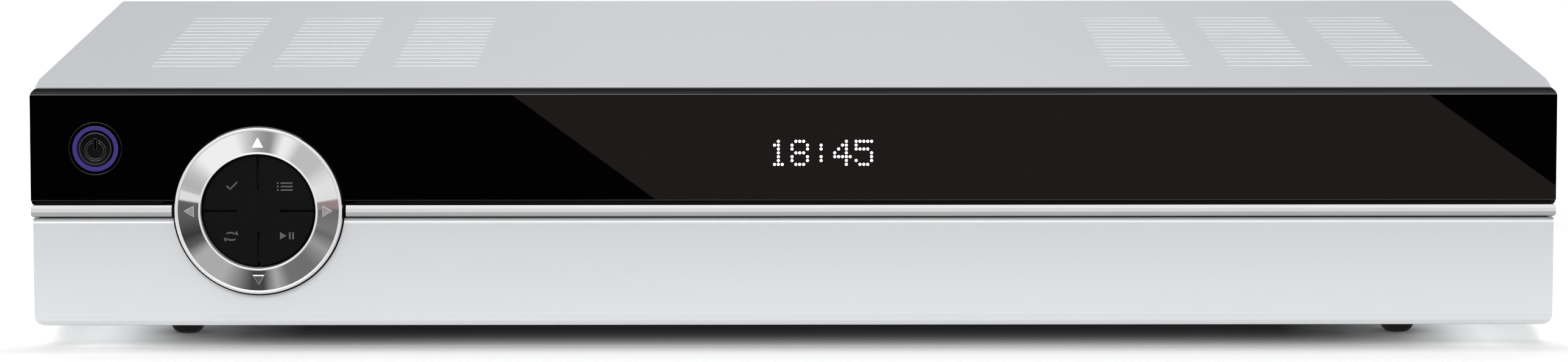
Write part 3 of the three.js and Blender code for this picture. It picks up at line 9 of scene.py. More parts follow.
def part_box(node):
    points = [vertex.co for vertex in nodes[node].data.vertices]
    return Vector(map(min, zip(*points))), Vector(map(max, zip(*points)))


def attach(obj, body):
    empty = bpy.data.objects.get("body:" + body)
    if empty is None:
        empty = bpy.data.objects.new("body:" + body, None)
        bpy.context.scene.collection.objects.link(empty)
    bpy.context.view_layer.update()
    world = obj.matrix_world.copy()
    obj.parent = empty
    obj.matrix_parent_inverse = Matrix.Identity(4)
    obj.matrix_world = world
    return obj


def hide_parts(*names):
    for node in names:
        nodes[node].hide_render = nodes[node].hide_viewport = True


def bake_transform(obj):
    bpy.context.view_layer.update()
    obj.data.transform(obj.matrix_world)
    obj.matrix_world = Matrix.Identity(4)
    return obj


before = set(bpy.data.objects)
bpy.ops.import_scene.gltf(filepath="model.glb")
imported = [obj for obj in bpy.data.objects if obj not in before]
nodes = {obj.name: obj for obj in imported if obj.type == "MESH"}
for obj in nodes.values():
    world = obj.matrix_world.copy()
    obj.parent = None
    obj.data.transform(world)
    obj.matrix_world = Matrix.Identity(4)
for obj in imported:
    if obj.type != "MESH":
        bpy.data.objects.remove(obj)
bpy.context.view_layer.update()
scene = bpy.context.scene

MM = 0.001
OVER = 1 * MM
LEFT, RIGHT = "left", "right"


def middle(node):
    """The centre of a CAD node's box."""
    low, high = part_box(node)
    return (low + high) / 2


pane_low, pane_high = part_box("display_window")
cover_low, cover_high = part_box("top_cover")
flap_low, flap_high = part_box("front_flap")
front_y = pane_low.y
dial_centre = Vector((middle("nav_ring").x, front_y, middle("nav_ring").z))
power_seat = middle("power_button")
power_centre = Vector((power_seat.x - 0.25 * MM, front_y, power_seat.z + 0.12 * MM))
dial_cut = 20.85 * MM
cover_flare = 1.2 * MM
foot_height = 6 * MM


# Camera, fitted by least squares to edges of front and cover in the photograph
def make_camera():
    image_width, focal_pixels = 2576, 10865.7
    place = Vector((-12.14, -1719.03, 223.72)) * MM
    yaw, pitch, roll = (math.radians(angle) for angle in (-0.3498, 6.5294, -0.006))
    ahead = Vector((
        -math.sin(yaw) * math.cos(pitch),
        math.cos(yaw) * math.cos(pitch),
        -math.sin(pitch),
    ))
    level = Vector((math.cos(yaw), math.sin(yaw), 0))
    up = level.cross(ahead)
    across = level * math.cos(roll) + up * math.sin(roll)
    upright = across.cross(ahead)
    data = bpy.data.cameras.new("camera")
    data.sensor_width = 36
    data.lens = focal_pixels / image_width * data.sensor_width
    data.clip_end = 20
    camera = bpy.data.objects.new("camera", data)
    turn = Matrix((across, upright, -ahead)).transposed()
    camera.matrix_world = Matrix.Translation(place) @ turn.to_4x4()
    scene.collection.objects.link(camera)
    scene.camera = camera


make_camera()


# Shader maths
def connect(value, socket):
    """Links a wire to a socket, or sets the socket's own value."""
    if isinstance(value, Wire):
        socket.id_data.links.new(value.socket, socket)
    else:
        socket.default_value = value


class Wire:
    """One output of a shader node. Arithmetic on it adds Math nodes."""

    def __init__(self, socket):
        self.socket = socket

    def math(self, operation, *others):
        node = self.socket.id_data.nodes.new("ShaderNodeMath")
        node.operation = operation
        for socket, value in zip(node.inputs, (self, *others)):
            connect(value, socket)
        return Wire(node.outputs[0])

    def __add__(self, other):
        return self.math("ADD", other)

    __radd__ = __add__

    def __mul__(self, other):
        return self.math("MULTIPLY", other)

    __rmul__ = __mul__

    def __sub__(self, other):
        return self.math("SUBTRACT", other)

    def __rsub__(self, other):
        return self * -1 + other

    def __truediv__(self, other):
        return self.math("DIVIDE", other)

    def __gt__(self, other):
        return self.math("GREATER_THAN", other)

    def __lt__(self, other):
        return self.math("LESS_THAN", other)

    def __abs__(self):
        return self.math("ABSOLUTE")


class Nodes:
    """The node tree of a material or of the world."""

    def __init__(self, tree):
        self.tree = tree

    def node(self, kind, inputs=None, settings=None, out=0):
        node = self.tree.nodes.new("ShaderNode" + kind)
        for name, value in (settings or {}).items():
            if name == "stops":
                self.set_stops(node.color_ramp, value)
            else:
                setattr(node, name, value)
        for name, value in (inputs or {}).items():
            connect(value, node.inputs[name])
        return Wire(node.outputs[out])

    @staticmethod
    def set_stops(ramp, stops):
        while len(ramp.elements) < len(stops):
            ramp.elements.new(1)
        for element, (position, grey) in zip(ramp.elements, stops):
            element.position = position
            element.color = grey if isinstance(grey, tuple) else (grey, grey, grey, 1)

    def levels(self, value, levels, start, end, most=1.0):
        """Greys at places along a value that runs from start to end, none above most."""
        along = self.node("MapRange", {"Value": value, "From Min": start, "From Max": end})
        stops = [((at - start) / (end - start), level / most) for at, level in levels]
        return self.node("ValToRGB", {0: along}, {"stops": stops}) * most

    def mix(self, factor, first, second):
        settings = {"data_type": "RGBA"}
        return self.node("Mix", {0: factor, 6: first, 7: second}, settings, out=2)

    def place(self):
        return self.node("TexCoord", out=3)

    def axes(self, vector=None):
        parts = self.node("SeparateXYZ", {0: vector or self.place()}).socket.node
        return [Wire(output) for output in parts.outputs]


class Finish(Nodes):
    """A material with its main shader."""

    def __init__(self, name, colour, roughness, metallic=0.0, **values):
        self.material = bpy.data.materials.new(name)
        self.material.use_nodes = True
        super().__init__(self.material.node_tree)
        self.shader = self.tree.nodes["Principled BSDF"]
        self.set("Base Color", rgb(colour))
        self.set("Roughness", roughness)
        self.set("Metallic", metallic)
        for socket, value in values.items():
            self.set(socket.replace("_", " "), value)

    def set(self, socket, value):
        connect(value, self.shader.inputs[socket])

    def noise(self, scale, detail=2.0, stretch=(1, 1, 1)):
        place = self.node("Mapping", {0: self.place(), 3: stretch})
        return self.node("TexNoise", {"Vector": place, "Scale": scale, "Detail": detail})

    def cells(self, scale, out=0):
        return self.node("TexVoronoi", {"Vector": self.place(), "Scale": scale}, out=out)

    def bump(self, height, depth):
        self.set("Normal", self.node("Bump", {
            "Height": height, "Distance": depth, "Strength": 1.0,
        }))

    def vary(self, pattern, first, second):
        """The base colour runs between two colours with a pattern from 0 to 1."""
        self.set("Base Color", self.mix(pattern, rgb(first), rgb(second)))


def rgb(colour):
    """A colour for a socket, from one grey or three channels, in linear light."""
    if isinstance(colour, (int, float)):
        colour = (colour, colour, colour)
    return (*colour, 1)


# Finishes
def silver_paint():
    """Silver sheet paint, with painted shade a little darker towards the ends and a painted
    highlight on the slots' walls and front edge.
    """
    finish = Finish("silver_paint", 0.62, 0.42)
    grain = finish.noise(2400, 1)
    broad = finish.noise(9, 2)
    coat = finish.mix(broad, rgb((0.61, 0.617, 0.645)), rgb((0.635, 0.642, 0.67)))
    x, y, z = finish.axes()
    inner, outer = 50 * MM, 170 * MM
    # Painted shade: the paint turns darker from the middle towards the ends.
    ends = finish.node("MapRange", {"Value": abs(x), "From Min": inner, "From Max": outer})
    coat = finish.mix(ends, coat, rgb((0.53, 0.545, 0.58)))
    # Painted highlight: the slots' walls and the front edge are made almost white.
    surface, under_sheet = cover_high.z - 0.03 * MM, cover_high.z - 1.3 * MM
    walls = (z < surface) * (z > under_sheet) * (abs(x) < outer)
    front_edge = cover_low.y + 0.3 * MM
    cut = (walls + (y < front_edge)).math("MINIMUM", 1.0)
    finish.set("Base Color", finish.mix(cut, coat, rgb((0.96, 0.97, 0.98))))
    finish.set("Roughness", 0.36 + grain * 0.12)
    finish.bump(grain, 0.012 * MM)
    return finish.material


def silver_lacquer():
    """Silver lacquer of the flap. Its colour up the flap, painted light and shade, follows
    readings of the photograph.
    """
    finish = Finish("silver_lacquer", 0.66, 0.3, Coat_Weight=0.35, Coat_Roughness=0.12)
    flake = finish.noise(3600, 1)
    _, _, z = finish.axes()
    height = finish.node("MapRange", {"Value": z, "From Min": flap_low.z, "From Max": flap_high.z})
    # Painted light and shade up the flap: lighter towards the lower edge, painted highlights at
    # the crease and the rolled top edge, painted shade over the top of that edge.
    painted_light_tones = [
        (0, 0.79), (0.034, 0.777), (0.079, 0.734), (0.105, 0.726), (0.1105, 0.8), (0.116, 0.718),
        (0.193, 0.711), (0.42, 0.683), (0.59, 0.656), (0.845, 0.62), (0.95, 0.605), (0.958, 0.66),
        (0.9637, 0.76), (0.975, 0.5), (0.986, 0.37), (0.998, 0.29), (1, 0.25),
    ]
    stops = [(at, (tone * 0.955, tone * 0.97, tone * 0.993, 1)) for at, tone in painted_light_tones]
    tone = finish.node("ValToRGB", {0: height}, {"stops": stops})
    finish.set("Base Color", finish.mix(flake * 0.05, tone, rgb((0.9, 0.91, 0.93))))
    finish.set("Roughness", 0.28 + flake * 0.1)
    finish.bump(finish.noise(1500, 1), 0.006 * MM)
    return finish.material


def black_gloss():
    finish = Finish("black_gloss", 0.0012, 0.03)
    haze = finish.noise(60, 3)
    finish.vary(haze, (0.0003, 0.0003, 0.0003), (0.0006, 0.0006, 0.0006))
    finish.set("Roughness", 0.004 + haze * 0.01)
    finish.bump(finish.noise(24, 1), 0.001 * MM)
    return finish.material


def mirror_chrome():
    finish = Finish("mirror_chrome", 0.86, 0.05, 1.0)
    haze = finish.noise(80, 3)
    finish.vary(haze, (0.83, 0.825, 0.83), (0.89, 0.885, 0.88))
    finish.set("Roughness", 0.035 + haze * 0.03)
    return finish.material


def turned_chrome():
    """Mirror chrome of the ring, with its two rims left in a pale satin, partly a painted
    highlight, and its outer wall a darker mirror as painted shade.
    """
    finish = Finish("turned_chrome", 0.86, 0.05, 1.0)
    haze = finish.noise(80, 3)
    mirror = finish.mix(haze, rgb((0.83, 0.825, 0.83)), rgb((0.89, 0.885, 0.88)))
    x, _, z = finish.axes()
    x, z = x - dial_centre.x, z - dial_centre.z
    radius = (x * x + z * z).math("SQRT")
    inner_rim, outer_rim, outer_edge = 14.45 * MM, 19.5 * MM, 20.28 * MM
    edge = radius > outer_edge
    rim = (radius > outer_rim) + (radius < inner_rim) - edge
    # The rims' pale satin is partly a painted highlight.
    coat = finish.mix(rim, mirror, rgb((0.93, 0.93, 0.935)))
    # Painted shade: beyond the outer rim the wall is a darker mirror.
    finish.set("Base Color", finish.mix(edge, coat, rgb((0.45, 0.45, 0.46))))
    finish.set("Roughness", 0.035 + haze * 0.03 + rim * 0.2)
    finish.set("Metallic", 1 - rim * 0.55)
    return finish.material


def satin_chrome():
    finish = Finish("satin_chrome", 0.8, 0.15, 1.0)
    grain = finish.noise(1800, 2)
    finish.vary(grain, (0.77, 0.77, 0.78), (0.84, 0.84, 0.85))
    finish.set("Roughness", 0.2 + grain * 0.08)
    return finish.material


def moulded_black():
    colour, rough = 0.012, 0.5
    finish = Finish("moulded_black", colour, rough)
    grain = finish.noise(1400, 2)
    finish.vary(grain, colour * 0.8, colour * 1.25)
    finish.set("Roughness", rough - 0.05 + grain * 0.1)
    finish.bump(grain, 0.02 * MM)
    return finish.material


def key_rubber():
    finish = Finish("key_rubber", 0.004, 0.62, Specular_IOR_Level=0.08)
    grain = finish.noise(2600, 1)
    finish.vary(grain, 0.0022, 0.0035)
    finish.set("Roughness", 0.56 + grain * 0.12)
    finish.bump(grain, 0.01 * MM)
    return finish.material


def satin_black():
    """Hard satin plastic of the power key, polished where it stands proud."""
    finish = Finish("satin_black", 0.0022, 0.3, Specular_IOR_Level=0.12)
    grain = finish.noise(1500, 2)
    flat = finish.mix(grain, rgb((0.0014, 0.0014, 0.0022)), rgb((0.0022, 0.0022, 0.0032)))
    _, y, _ = finish.axes()
    beads = power_centre.y - 0.15 * MM
    proud = y < beads
    finish.set("Base Color", finish.mix(proud, flat, rgb(0.065)))
    finish.set("Metallic", proud * 0.7)
    finish.set("Roughness", 0.24 + grain * 0.08 - proud * 0.08)
    return finish.material


def key_print():
    finish = Finish("key_print", 0.09, 0.5)
    finish.vary(finish.noise(900, 2), (0.078, 0.078, 0.08), (0.1, 0.1, 0.102))
    return finish.material


def foot_rubber():
    finish = Finish("foot_rubber", 0.006, 0.75)
    grain = finish.noise(900, 3)
    finish.vary(grain, 0.004, 0.009)
    finish.set("Roughness", 0.66 + grain * 0.2)
    finish.bump(grain, 0.03 * MM)
    return finish.material


def violet_light():
    finish = Finish("violet_light", (0.03, 0.018, 0.13), 0.35, Specular_IOR_Level=0.2)
    across = finish.noise(120, 1)
    finish.vary(across, (0.032, 0.019, 0.135), (0.038, 0.023, 0.155))
    glow = finish.mix(across, rgb((0.2, 0.12, 0.75)), rgb((0.24, 0.15, 0.85)))
    finish.set("Emission Color", glow)
    finish.set("Emission Strength", 0.04)
    return finish.material


def display_dot():
    finish = Finish("display_dot", 0.8, 0.4)
    glow = finish.noise(700, 1)
    finish.set("Emission Color", finish.mix(glow, rgb((0.9, 0.96, 1.0)), rgb((1.0, 1.0, 1.0))))
    finish.set("Emission Strength", 1.0)
    return finish.material


def display_glass():
    """Dark glass of the display, with the fine mesh of its electrodes."""
    finish = Finish("display_glass", 0.004, 0.12)
    x, _, z = finish.axes()
    pitch = 0.94 * MM
    upright, level = (abs((along / pitch).math("FRACT") - 0.5) > 0.42 for along in (x, z))
    finish.vary(upright + level, (0.003, 0.004, 0.004), (0.001, 0.001, 0.001))
    return finish.material


def zinc_sheet():
    """Zinc coat with its spangle: the product turns each cell's colour into a grey."""
    finish = Finish("zinc_sheet", 0.5, 0.4, 0.9)
    spangle = finish.cells(420)
    shade = finish.cells(420, out=1) * 1.0
    finish.vary(shade, (0.4, 0.405, 0.41), (0.5, 0.507, 0.515))
    finish.set("Roughness", 0.34 + spangle * 0.16 + finish.noise(500, 2) * 0.1)
    finish.bump(finish.noise(900, 2), 0.01 * MM)
    return finish.material


def nickel_plate():
    finish = Finish("nickel_plate", 0.62, 0.28, 1.0)
    haze = finish.noise(300, 3)
    finish.vary(haze, (0.5, 0.49, 0.46), (0.6, 0.59, 0.56))
    finish.set("Roughness", 0.14 + haze * 0.14)
    finish.bump(finish.noise(1800, 1), 0.004 * MM)
    return finish.material


def drawn_aluminium():
    finish = Finish("drawn_aluminium", 0.6, 0.35, 1.0)
    lines = finish.noise(900, 2, stretch=(1, 0.02, 1))
    finish.vary(lines, (0.5, 0.51, 0.52), (0.68, 0.69, 0.7))
    finish.set("Roughness", 0.28 + lines * 0.16)
    finish.bump(lines, 0.01 * MM)
    return finish.material


def green_board():
    """Solder mask with tracks one way and the other, and tinned pads."""
    finish = Finish("green_board", (0.012, 0.09, 0.035), 0.4)
    x, y, _ = finish.axes()
    pitch = 2.54 * MM
    track = finish.noise(420, 1, stretch=(1, 0.25, 1)) > 0.52
    pads = finish.cells(1 / pitch) < 0.16
    lines = (abs((x / pitch).math("FRACT") - 0.5) > 0.44) * track
    rows = (abs((y / pitch).math("FRACT") - 0.5) > 0.44) * (1 - track)
    copper = (lines + rows).math("MINIMUM", 1.0)
    mask = finish.mix(copper, rgb((0.01, 0.075, 0.03)), rgb((0.025, 0.15, 0.06)))
    finish.set("Base Color", finish.mix(pads, mask, rgb((0.55, 0.5, 0.38))))
    finish.set("Metallic", pads)
    finish.bump(copper + pads, 0.03 * MM)
    return finish.material


def winding_tape():
    finish = Finish("winding_tape", (0.6, 0.36, 0.03), 0.35)
    wrap = finish.noise(220, 2, stretch=(1, 1, 6))
    finish.vary(wrap, (0.5, 0.3, 0.02), (0.68, 0.43, 0.05))
    finish.bump(wrap, 0.05 * MM)
    return finish.material


def shrink_sleeve():
    finish = Finish("shrink_sleeve", (0.012, 0.025, 0.11), 0.3)
    finish.vary(finish.noise(200, 2), (0.01, 0.02, 0.09), (0.016, 0.032, 0.14))
    finish.bump(finish.noise(400, 2), 0.02 * MM)
    return finish.material


def cable_jacket():
    finish = Finish("cable_jacket", 0.3, 0.5)
    x, _, _ = finish.axes()
    core = 1.27 * MM
    groove = abs((x / core).math("FRACT") - 0.5)
    # Painted shade: the colour darkens into the grooves between the cores.
    finish.vary(groove * 2, (0.32, 0.33, 0.35), (0.2, 0.21, 0.23))
    finish.bump(groove, -0.15 * MM)
    return finish.material


paint = silver_paint()
lacquer = silver_lacquer()
gloss = black_gloss()
chrome = mirror_chrome()
ring_chrome = turned_chrome()
satin = satin_chrome()
moulded = moulded_black()
rubber = key_rubber()
key_gloss = satin_black()
printed = key_print()
tread = foot_rubber()
violet = violet_light()
dots = display_dot()
glass = display_glass()
zinc = zinc_sheet()
nickel = nickel_plate()
aluminium = drawn_aluminium()
board = green_board()
tape = winding_tape()
sleeve = shrink_sleeve()
jacket = cable_jacket()

node_finishes = {
    zinc: ["base_tray", "rear_panel", "card_cage", "drive_bracket"],
    paint: ["top_cover"],
    moulded: [
        "front_fascia", "scart_lower", "scart_upper", "phono_sockets", "digital_audio_sockets",
        "mains_inlet", "mains_switch_frame", "mains_rocker", "dial_drum", "nav_rocker_frame",
        "smartcard_reader",
    ],
    gloss: ["display_window", "power_surround"],
    chrome: ["trim_strip_left", "trim_strip_right", "nav_ring"],
    lacquer: ["front_flap"],
    nickel: [
        "serial_port", "hdmi_socket", "lan_socket", "usb_socket_rear", "usb_socket_front",
        "tuner_a", "tuner_b", "cover_screw_left_front", "cover_screw_left_rear",
        "cover_screw_right_front", "cover_screw_right_rear", "cover_screw_back_left",
        "cover_screw_back_right",
    ],
    tread: ["foot_front_left", "foot_front_right", "foot_rear_left", "foot_rear_right"],
    rubber: [
        "pad_hub", "key_upper_left", "key_upper_right", "key_lower_left", "key_lower_right",
        "power_button",
    ],
    violet: ["power_light_ring"],
    board: ["front_board", "main_board", "psu_board"],
    glass: ["display_module"],
    aluminium: ["main_heatsink", "hard_drive", "psu_heatsink"],
    tape: ["psu_transformer"],
    sleeve: ["psu_capacitor"],
    jacket: ["front_ribbon", "drive_cable", "psu_harness"],
}
for material, names in node_finishes.items():
    for name in names:
        nodes[name].data.materials.clear()
        nodes[name].data.materials.append(material)


# Modelling tools
def active(name):
    """Names the new object and puts its place into its mesh."""
    piece = bpy.context.object
    piece.name = piece.data.name = name
    bpy.ops.object.transform_apply(location=True, rotation=True, scale=True)
    return piece


def only(piece):
    bpy.ops.object.select_all(action="DESELECT")
    piece.select_set(True)
    bpy.context.view_layer.objects.active = piece


def block(name, low, high):
    bpy.ops.object.select_all(action="DESELECT")
    low, high = Vector(low), Vector(high)
    bpy.ops.mesh.primitive_cube_add(size=1, location=(low + high) / 2, scale=high - low)
    return active(name)


def rod(name, axis, radius, start, end, centre, sides=64):
    """A round bar along one axis, between two places on it."""
    bpy.ops.object.select_all(action="DESELECT")
    turns = {"x": (0, math.pi / 2, 0), "y": (math.pi / 2, 0, 0), "z": (0, 0, 0)}
    place = Vector(centre)
    place["xyz".index(axis)] = (start + end) / 2
    bpy.ops.mesh.primitive_cylinder_add(
        vertices=sides, radius=radius, depth=end - start, location=place, rotation=turns[axis],
    )
    return active(name)


def edit(piece, operation, *tests, kind="faces", **settings):
    """Runs one edit mode operator on the parts of a mesh that pass every test."""
    only(piece)
    bpy.ops.object.mode_set(mode="EDIT")
    bpy.ops.mesh.select_mode(type={"verts": "VERT", "edges": "EDGE", "faces": "FACE"}[kind])
    bpy.ops.mesh.select_all(action="DESELECT" if tests else "SELECT")
    mesh = bmesh.from_edit_mesh(piece.data)
    if tests:
        for part in getattr(mesh, kind):
            part.select_set(all(test(part) for test in tests))
        mesh.select_flush_mode()
    bmesh.update_edit_mesh(piece.data)
    operation(**settings)
    bpy.ops.object.mode_set(mode="OBJECT")
    return piece


def edge_at(test):
    """An edge whose two ends both pass the test."""
    return lambda edge: all(test(vertex.co) for vertex in edge.verts)


def sharp(angle):
    limit = math.radians(angle)
    return lambda edge: len(edge.link_faces) == 2 and edge.calc_face_angle() > limit


def soften(piece, width, *tests, segments=3, angle=40):
    """Rounds the sharp edges that pass the tests."""
    return edit(
        piece, bpy.ops.mesh.bevel, sharp(angle), *tests, kind="edges",
        offset=width, segments=segments, affect="EDGES", clamp_overlap=True,
    )


def apply(piece, kind, **settings):
    """Adds one modifier and applies it."""
    only(piece)
    modifier = piece.modifiers.new(kind.lower(), kind)
    for name, value in settings.items():
        setattr(modifier, name, value)
    bpy.ops.object.modifier_apply(modifier=modifier.name)
    return piece


def carve(piece, *tools, operation="DIFFERENCE"):
    for tool in tools:
        apply(piece, "BOOLEAN", operation=operation, solver="MANIFOLD", object=tool)
        bpy.data.objects.remove(tool)
    return piece


def merged(name, parts):
    """Several meshes as one."""
    bpy.ops.object.select_all(action="DESELECT")
    for part in parts:
        part.select_set(True)
    bpy.context.view_layer.objects.active = parts[0]
    if len(parts) > 1:
        bpy.ops.object.join()
    parts[0].name = parts[0].data.name = name
    return parts[0]


def copied(piece, name, move):
    twin = piece.copy()
    twin.data = piece.data.copy()
    twin.name = twin.data.name = name
    twin.data.transform(Matrix.Translation(move))
    scene.collection.objects.link(twin)
    return twin


def prism(name, outline, axis, start, end):
    """An outline carried along an axis: (y, z) points along X, or (x, z) points along Y."""
    bpy.ops.object.select_all(action="DESELECT")
    bpy.ops.mesh.primitive_circle_add(vertices=len(outline), radius=OVER, fill_type="NGON")
    piece = active(name)
    for vertex, (across, up) in zip(piece.data.vertices, outline):
        vertex.co = (start, across, up) if axis == "x" else (across, start, up)
    reach = (end - start, 0, 0) if axis == "x" else (0, end - start, 0)
    edit(
        piece, bpy.ops.mesh.extrude_region_move,
        TRANSFORM_OT_translate={"value": reach},
    )
    return outward(piece)


def outward(piece):
    """Merges doubles and turns every face outwards."""
    edit(piece, bpy.ops.mesh.remove_doubles, threshold=0.0005 * MM)
    return edit(piece, bpy.ops.mesh.normals_make_consistent, inside=False)


def turned(name, profile, centre, axis="y", sides=96):
    """A circle carried through a profile of (radius, along) points, and closed at its ends."""
    bpy.ops.object.select_all(action="DESELECT")
    start = profile[1] if profile[0][0] == 0 else profile[0]
    bpy.ops.mesh.primitive_circle_add(vertices=sides, radius=start[0], location=(0, 0, start[1]))
    piece = active(name)
    only(piece)
    bpy.ops.object.mode_set(mode="EDIT")
    bpy.ops.mesh.select_mode(type="VERT")
    bpy.ops.mesh.select_all(action="SELECT")
    radius, along = start
    steps = profile[profile.index(start) + 1:]
    for next_radius, next_along in steps:
        move = {"value": (0, 0, next_along - along)}
        bpy.ops.mesh.extrude_edges_move(TRANSFORM_OT_translate=move)
        if next_radius == 0:
            bpy.ops.mesh.merge(type="CENTER")
            break
        share = next_radius / radius
        bpy.ops.transform.resize(value=(share, share, 1), center_override=(0, 0, next_along))
        radius, along = next_radius, next_along
    if profile[0][0] == 0:
        bpy.ops.mesh.select_all(action="DESELECT")
        mesh = bmesh.from_edit_mesh(piece.data)
        for edge in mesh.edges:
            edge.select_set(edge.is_boundary)
        bmesh.update_edit_mesh(piece.data)
        bpy.ops.mesh.select_mode(type="EDGE")
        bpy.ops.mesh.edge_face_add()
    bpy.ops.object.mode_set(mode="OBJECT")
    outward(piece)
    if axis != "z":
        piece.rotation_euler = (-math.pi / 2, 0, 0) if axis == "y" else (0, math.pi / 2, 0)
    piece.location = centre
    only(piece)
    return active(name)


def fillet(points, radii, segments=5):
    """The same outline with its inner points rounded: a radius for each point, 0 for none."""
    made = []
    for i, (point, radius) in enumerate(zip(points, radii)):
        here = Vector(point)
        if not radius:
            made.append(tuple(here))
            continue
        before = (Vector(points[i - 1]) - here).normalized()
        after = (Vector(points[(i + 1) % len(points)]) - here).normalized()
        half = before.angle(after) / 2
        centre = here + (before + after).normalized() * (radius / math.sin(half))
        first = here + before * (radius / math.tan(half)) - centre
        last = here + after * (radius / math.tan(half)) - centre
        sweep = first.angle_signed(last)
        for k in range(segments + 1):
            made.append(tuple(centre + rotated(first, -sweep * k / segments)))
    return made


def rotated(vector, angle):
    cos, sin = math.cos(angle), math.sin(angle)
    return Vector((vector.x * cos - vector.y * sin, vector.x * sin + vector.y * cos))


def scaled(points):
    """Points given in millimetres."""
    return [(u * MM, v * MM) for u, v in points]


def rounded_rectangle(u0, v0, u1, v1, radii, segments=8):
    corners = [(u0, v0), (u1, v0), (u1, v1), (u0, v1)]
    return fillet(corners, radii, segments)


def smooth(piece, angle=35):
    """Smooth shading below an angle. Large flat faces stay flat up to their edges."""
    only(piece)
    bpy.ops.object.shade_smooth_by_angle(angle=math.radians(angle))
    mesh = piece.data
    large = (10 * MM) ** 2
    edges = {tuple(sorted(edge.vertices)): edge for edge in mesh.edges}
    for face in mesh.polygons:
        if face.area > large:
            for key in face.edge_keys:
                edges[tuple(sorted(key))].use_edge_sharp = True


def finished(piece, material, body, stands_for=(), angle=35):
    """Smooths the piece, gives it its finish and puts it on its body."""
    smooth(piece, angle)
    piece.data.materials.clear()
    piece.data.materials.append(material)
    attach(piece, body)
    if stands_for:
        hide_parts(*stands_for)
    return piece


# Top cover
def cover_slots():
    """Six fields of fifteen slots with round ends."""
    length, wide = 21.7 * MM, 2.2 * MM
    rows = 15
    field_shares = (0.2423, 0.324, 0.4058)
    first_row, last_row = 0.219, 0.777
    width = pane_high.x - pane_low.x
    depth = cover_high.y - cover_low.y
    outline = rounded_rectangle(
        -length / 2, -wide / 2, length / 2, wide / 2, [wide * 0.45] * 4, 4,
    )
    bpy.ops.object.select_all(action="DESELECT")
    bpy.ops.mesh.primitive_circle_add(vertices=len(outline), radius=OVER, fill_type="NGON")
    slot = active("slot")
    for vertex, (x, y) in zip(slot.data.vertices, outline):
        vertex.co = (x, y, cover_high.z - 2 * OVER)
    edit(
        slot, bpy.ops.mesh.extrude_region_move,
        TRANSFORM_OT_translate={"value": (0, 0, 3 * OVER)},
    )
    outward(slot)
    slots = []
    for side in (-1, 1):
        for share in field_shares:
            for row in range(rows):
                along = first_row + (last_row - first_row) * row / (rows - 1)
                place = (side * share * width, cover_low.y + depth * along, 0)
                slots.append(copied(slot, "slot", place))
    bpy.data.objects.remove(slot)
    return merged("slots", slots)


def side_slots():
    """One row of slots through both sides."""
    count, pitch = 12, 6 * MM
    tall, wide = 16 * MM, 2.2 * MM
    case_depth, along, face_gap = 245 * MM, 0.62, 4.3 * MM
    middle_y = cover_low.y - face_gap + along * case_depth
    middle_z = (cover_high.z + cover_low.z) / 2
    slots = []
    for i in range(count):
        y = middle_y + (i - (count - 1) / 2) * pitch
        outline = rounded_rectangle(
            y - wide / 2, middle_z - tall / 2, y + wide / 2, middle_z + tall / 2,
            [wide * 0.45] * 4, 4,
        )
        slots.append(prism(
            "side_slot", outline, "x", cover_low.x - 3 * OVER, cover_high.x + 3 * OVER,
        ))
    return merged("side_slots", slots)


def top_cover():
    """Folded sheet with slots, screw holes, a rear lip and room for the flap's hinge."""
    sheet, radius = 1 * MM, 1.3 * MM
    taper_length, taper_width, lip_height = 24 * MM, 1.3 * MM, 8 * MM
    outwards = Vector((cover_flare, 0, 0))
    cover = block("cover_shell", cover_low - outwards, cover_high + outwards)
    top = cover_high.z
    edit(
        cover, bpy.ops.mesh.delete,
        lambda face: abs(face.normal.y) > 0.5 or face.normal.z < -0.5, type="FACE",
    )
    edit(
        cover, bpy.ops.mesh.bevel, edge_at(lambda co: co.z > top - sheet), sharp(60),
        kind="edges", offset=radius, segments=8, affect="EDGES",
    )
    taper = cover_low.y + taper_length
    edit(cover, bpy.ops.mesh.bisect, plane_co=(0, taper, 0), plane_no=(0, 1, 0))
    for vertex in cover.data.vertices:
        if vertex.co.y < taper - OVER:
            vertex.co.x *= 1 - taper_width / cover_high.x
    apply(cover, "SOLIDIFY", thickness=sheet, offset=-1)
    lip = block(
        "lip",
        (cover_low.x + radius, cover_high.y - sheet, top - lip_height),
        (cover_high.x - radius, cover_high.y, top - sheet / 2),
    )
    carve(cover, lip, operation="UNION")
    tools = [cover_slots(), side_slots()]
    reach, hole = 6.3 * MM, 1.8 * MM
    tools.append(block(
        "hinge_room",
        (cover_low.x - 3 * OVER, cover_low.y - OVER, cover_low.z - OVER),
        (cover_high.x + 3 * OVER, front_y + reach, foot_height + reach),
    ))
    for name in ("left_front", "left_rear"):
        place = middle("cover_screw_" + name)
        tools.append(rod(
            "hole", "x", hole, cover_low.x - 3 * OVER, cover_high.x + 3 * OVER, place, 24,
        ))
    for name in ("back_left", "back_right"):
        place = middle("cover_screw_" + name)
        tools.append(rod(
            "hole", "y", hole, cover_high.y - 3 * OVER, cover_high.y + OVER, place, 24,
        ))
    carve(cover, *tools)
    soften(
        cover, 0.22 * MM,
        edge_at(lambda co: co.z > top - 0.01 * MM or co.y < cover_low.y + 0.01 * MM),
        segments=2, angle=60,
    )
    finished(cover, paint, "root", ["top_cover"])


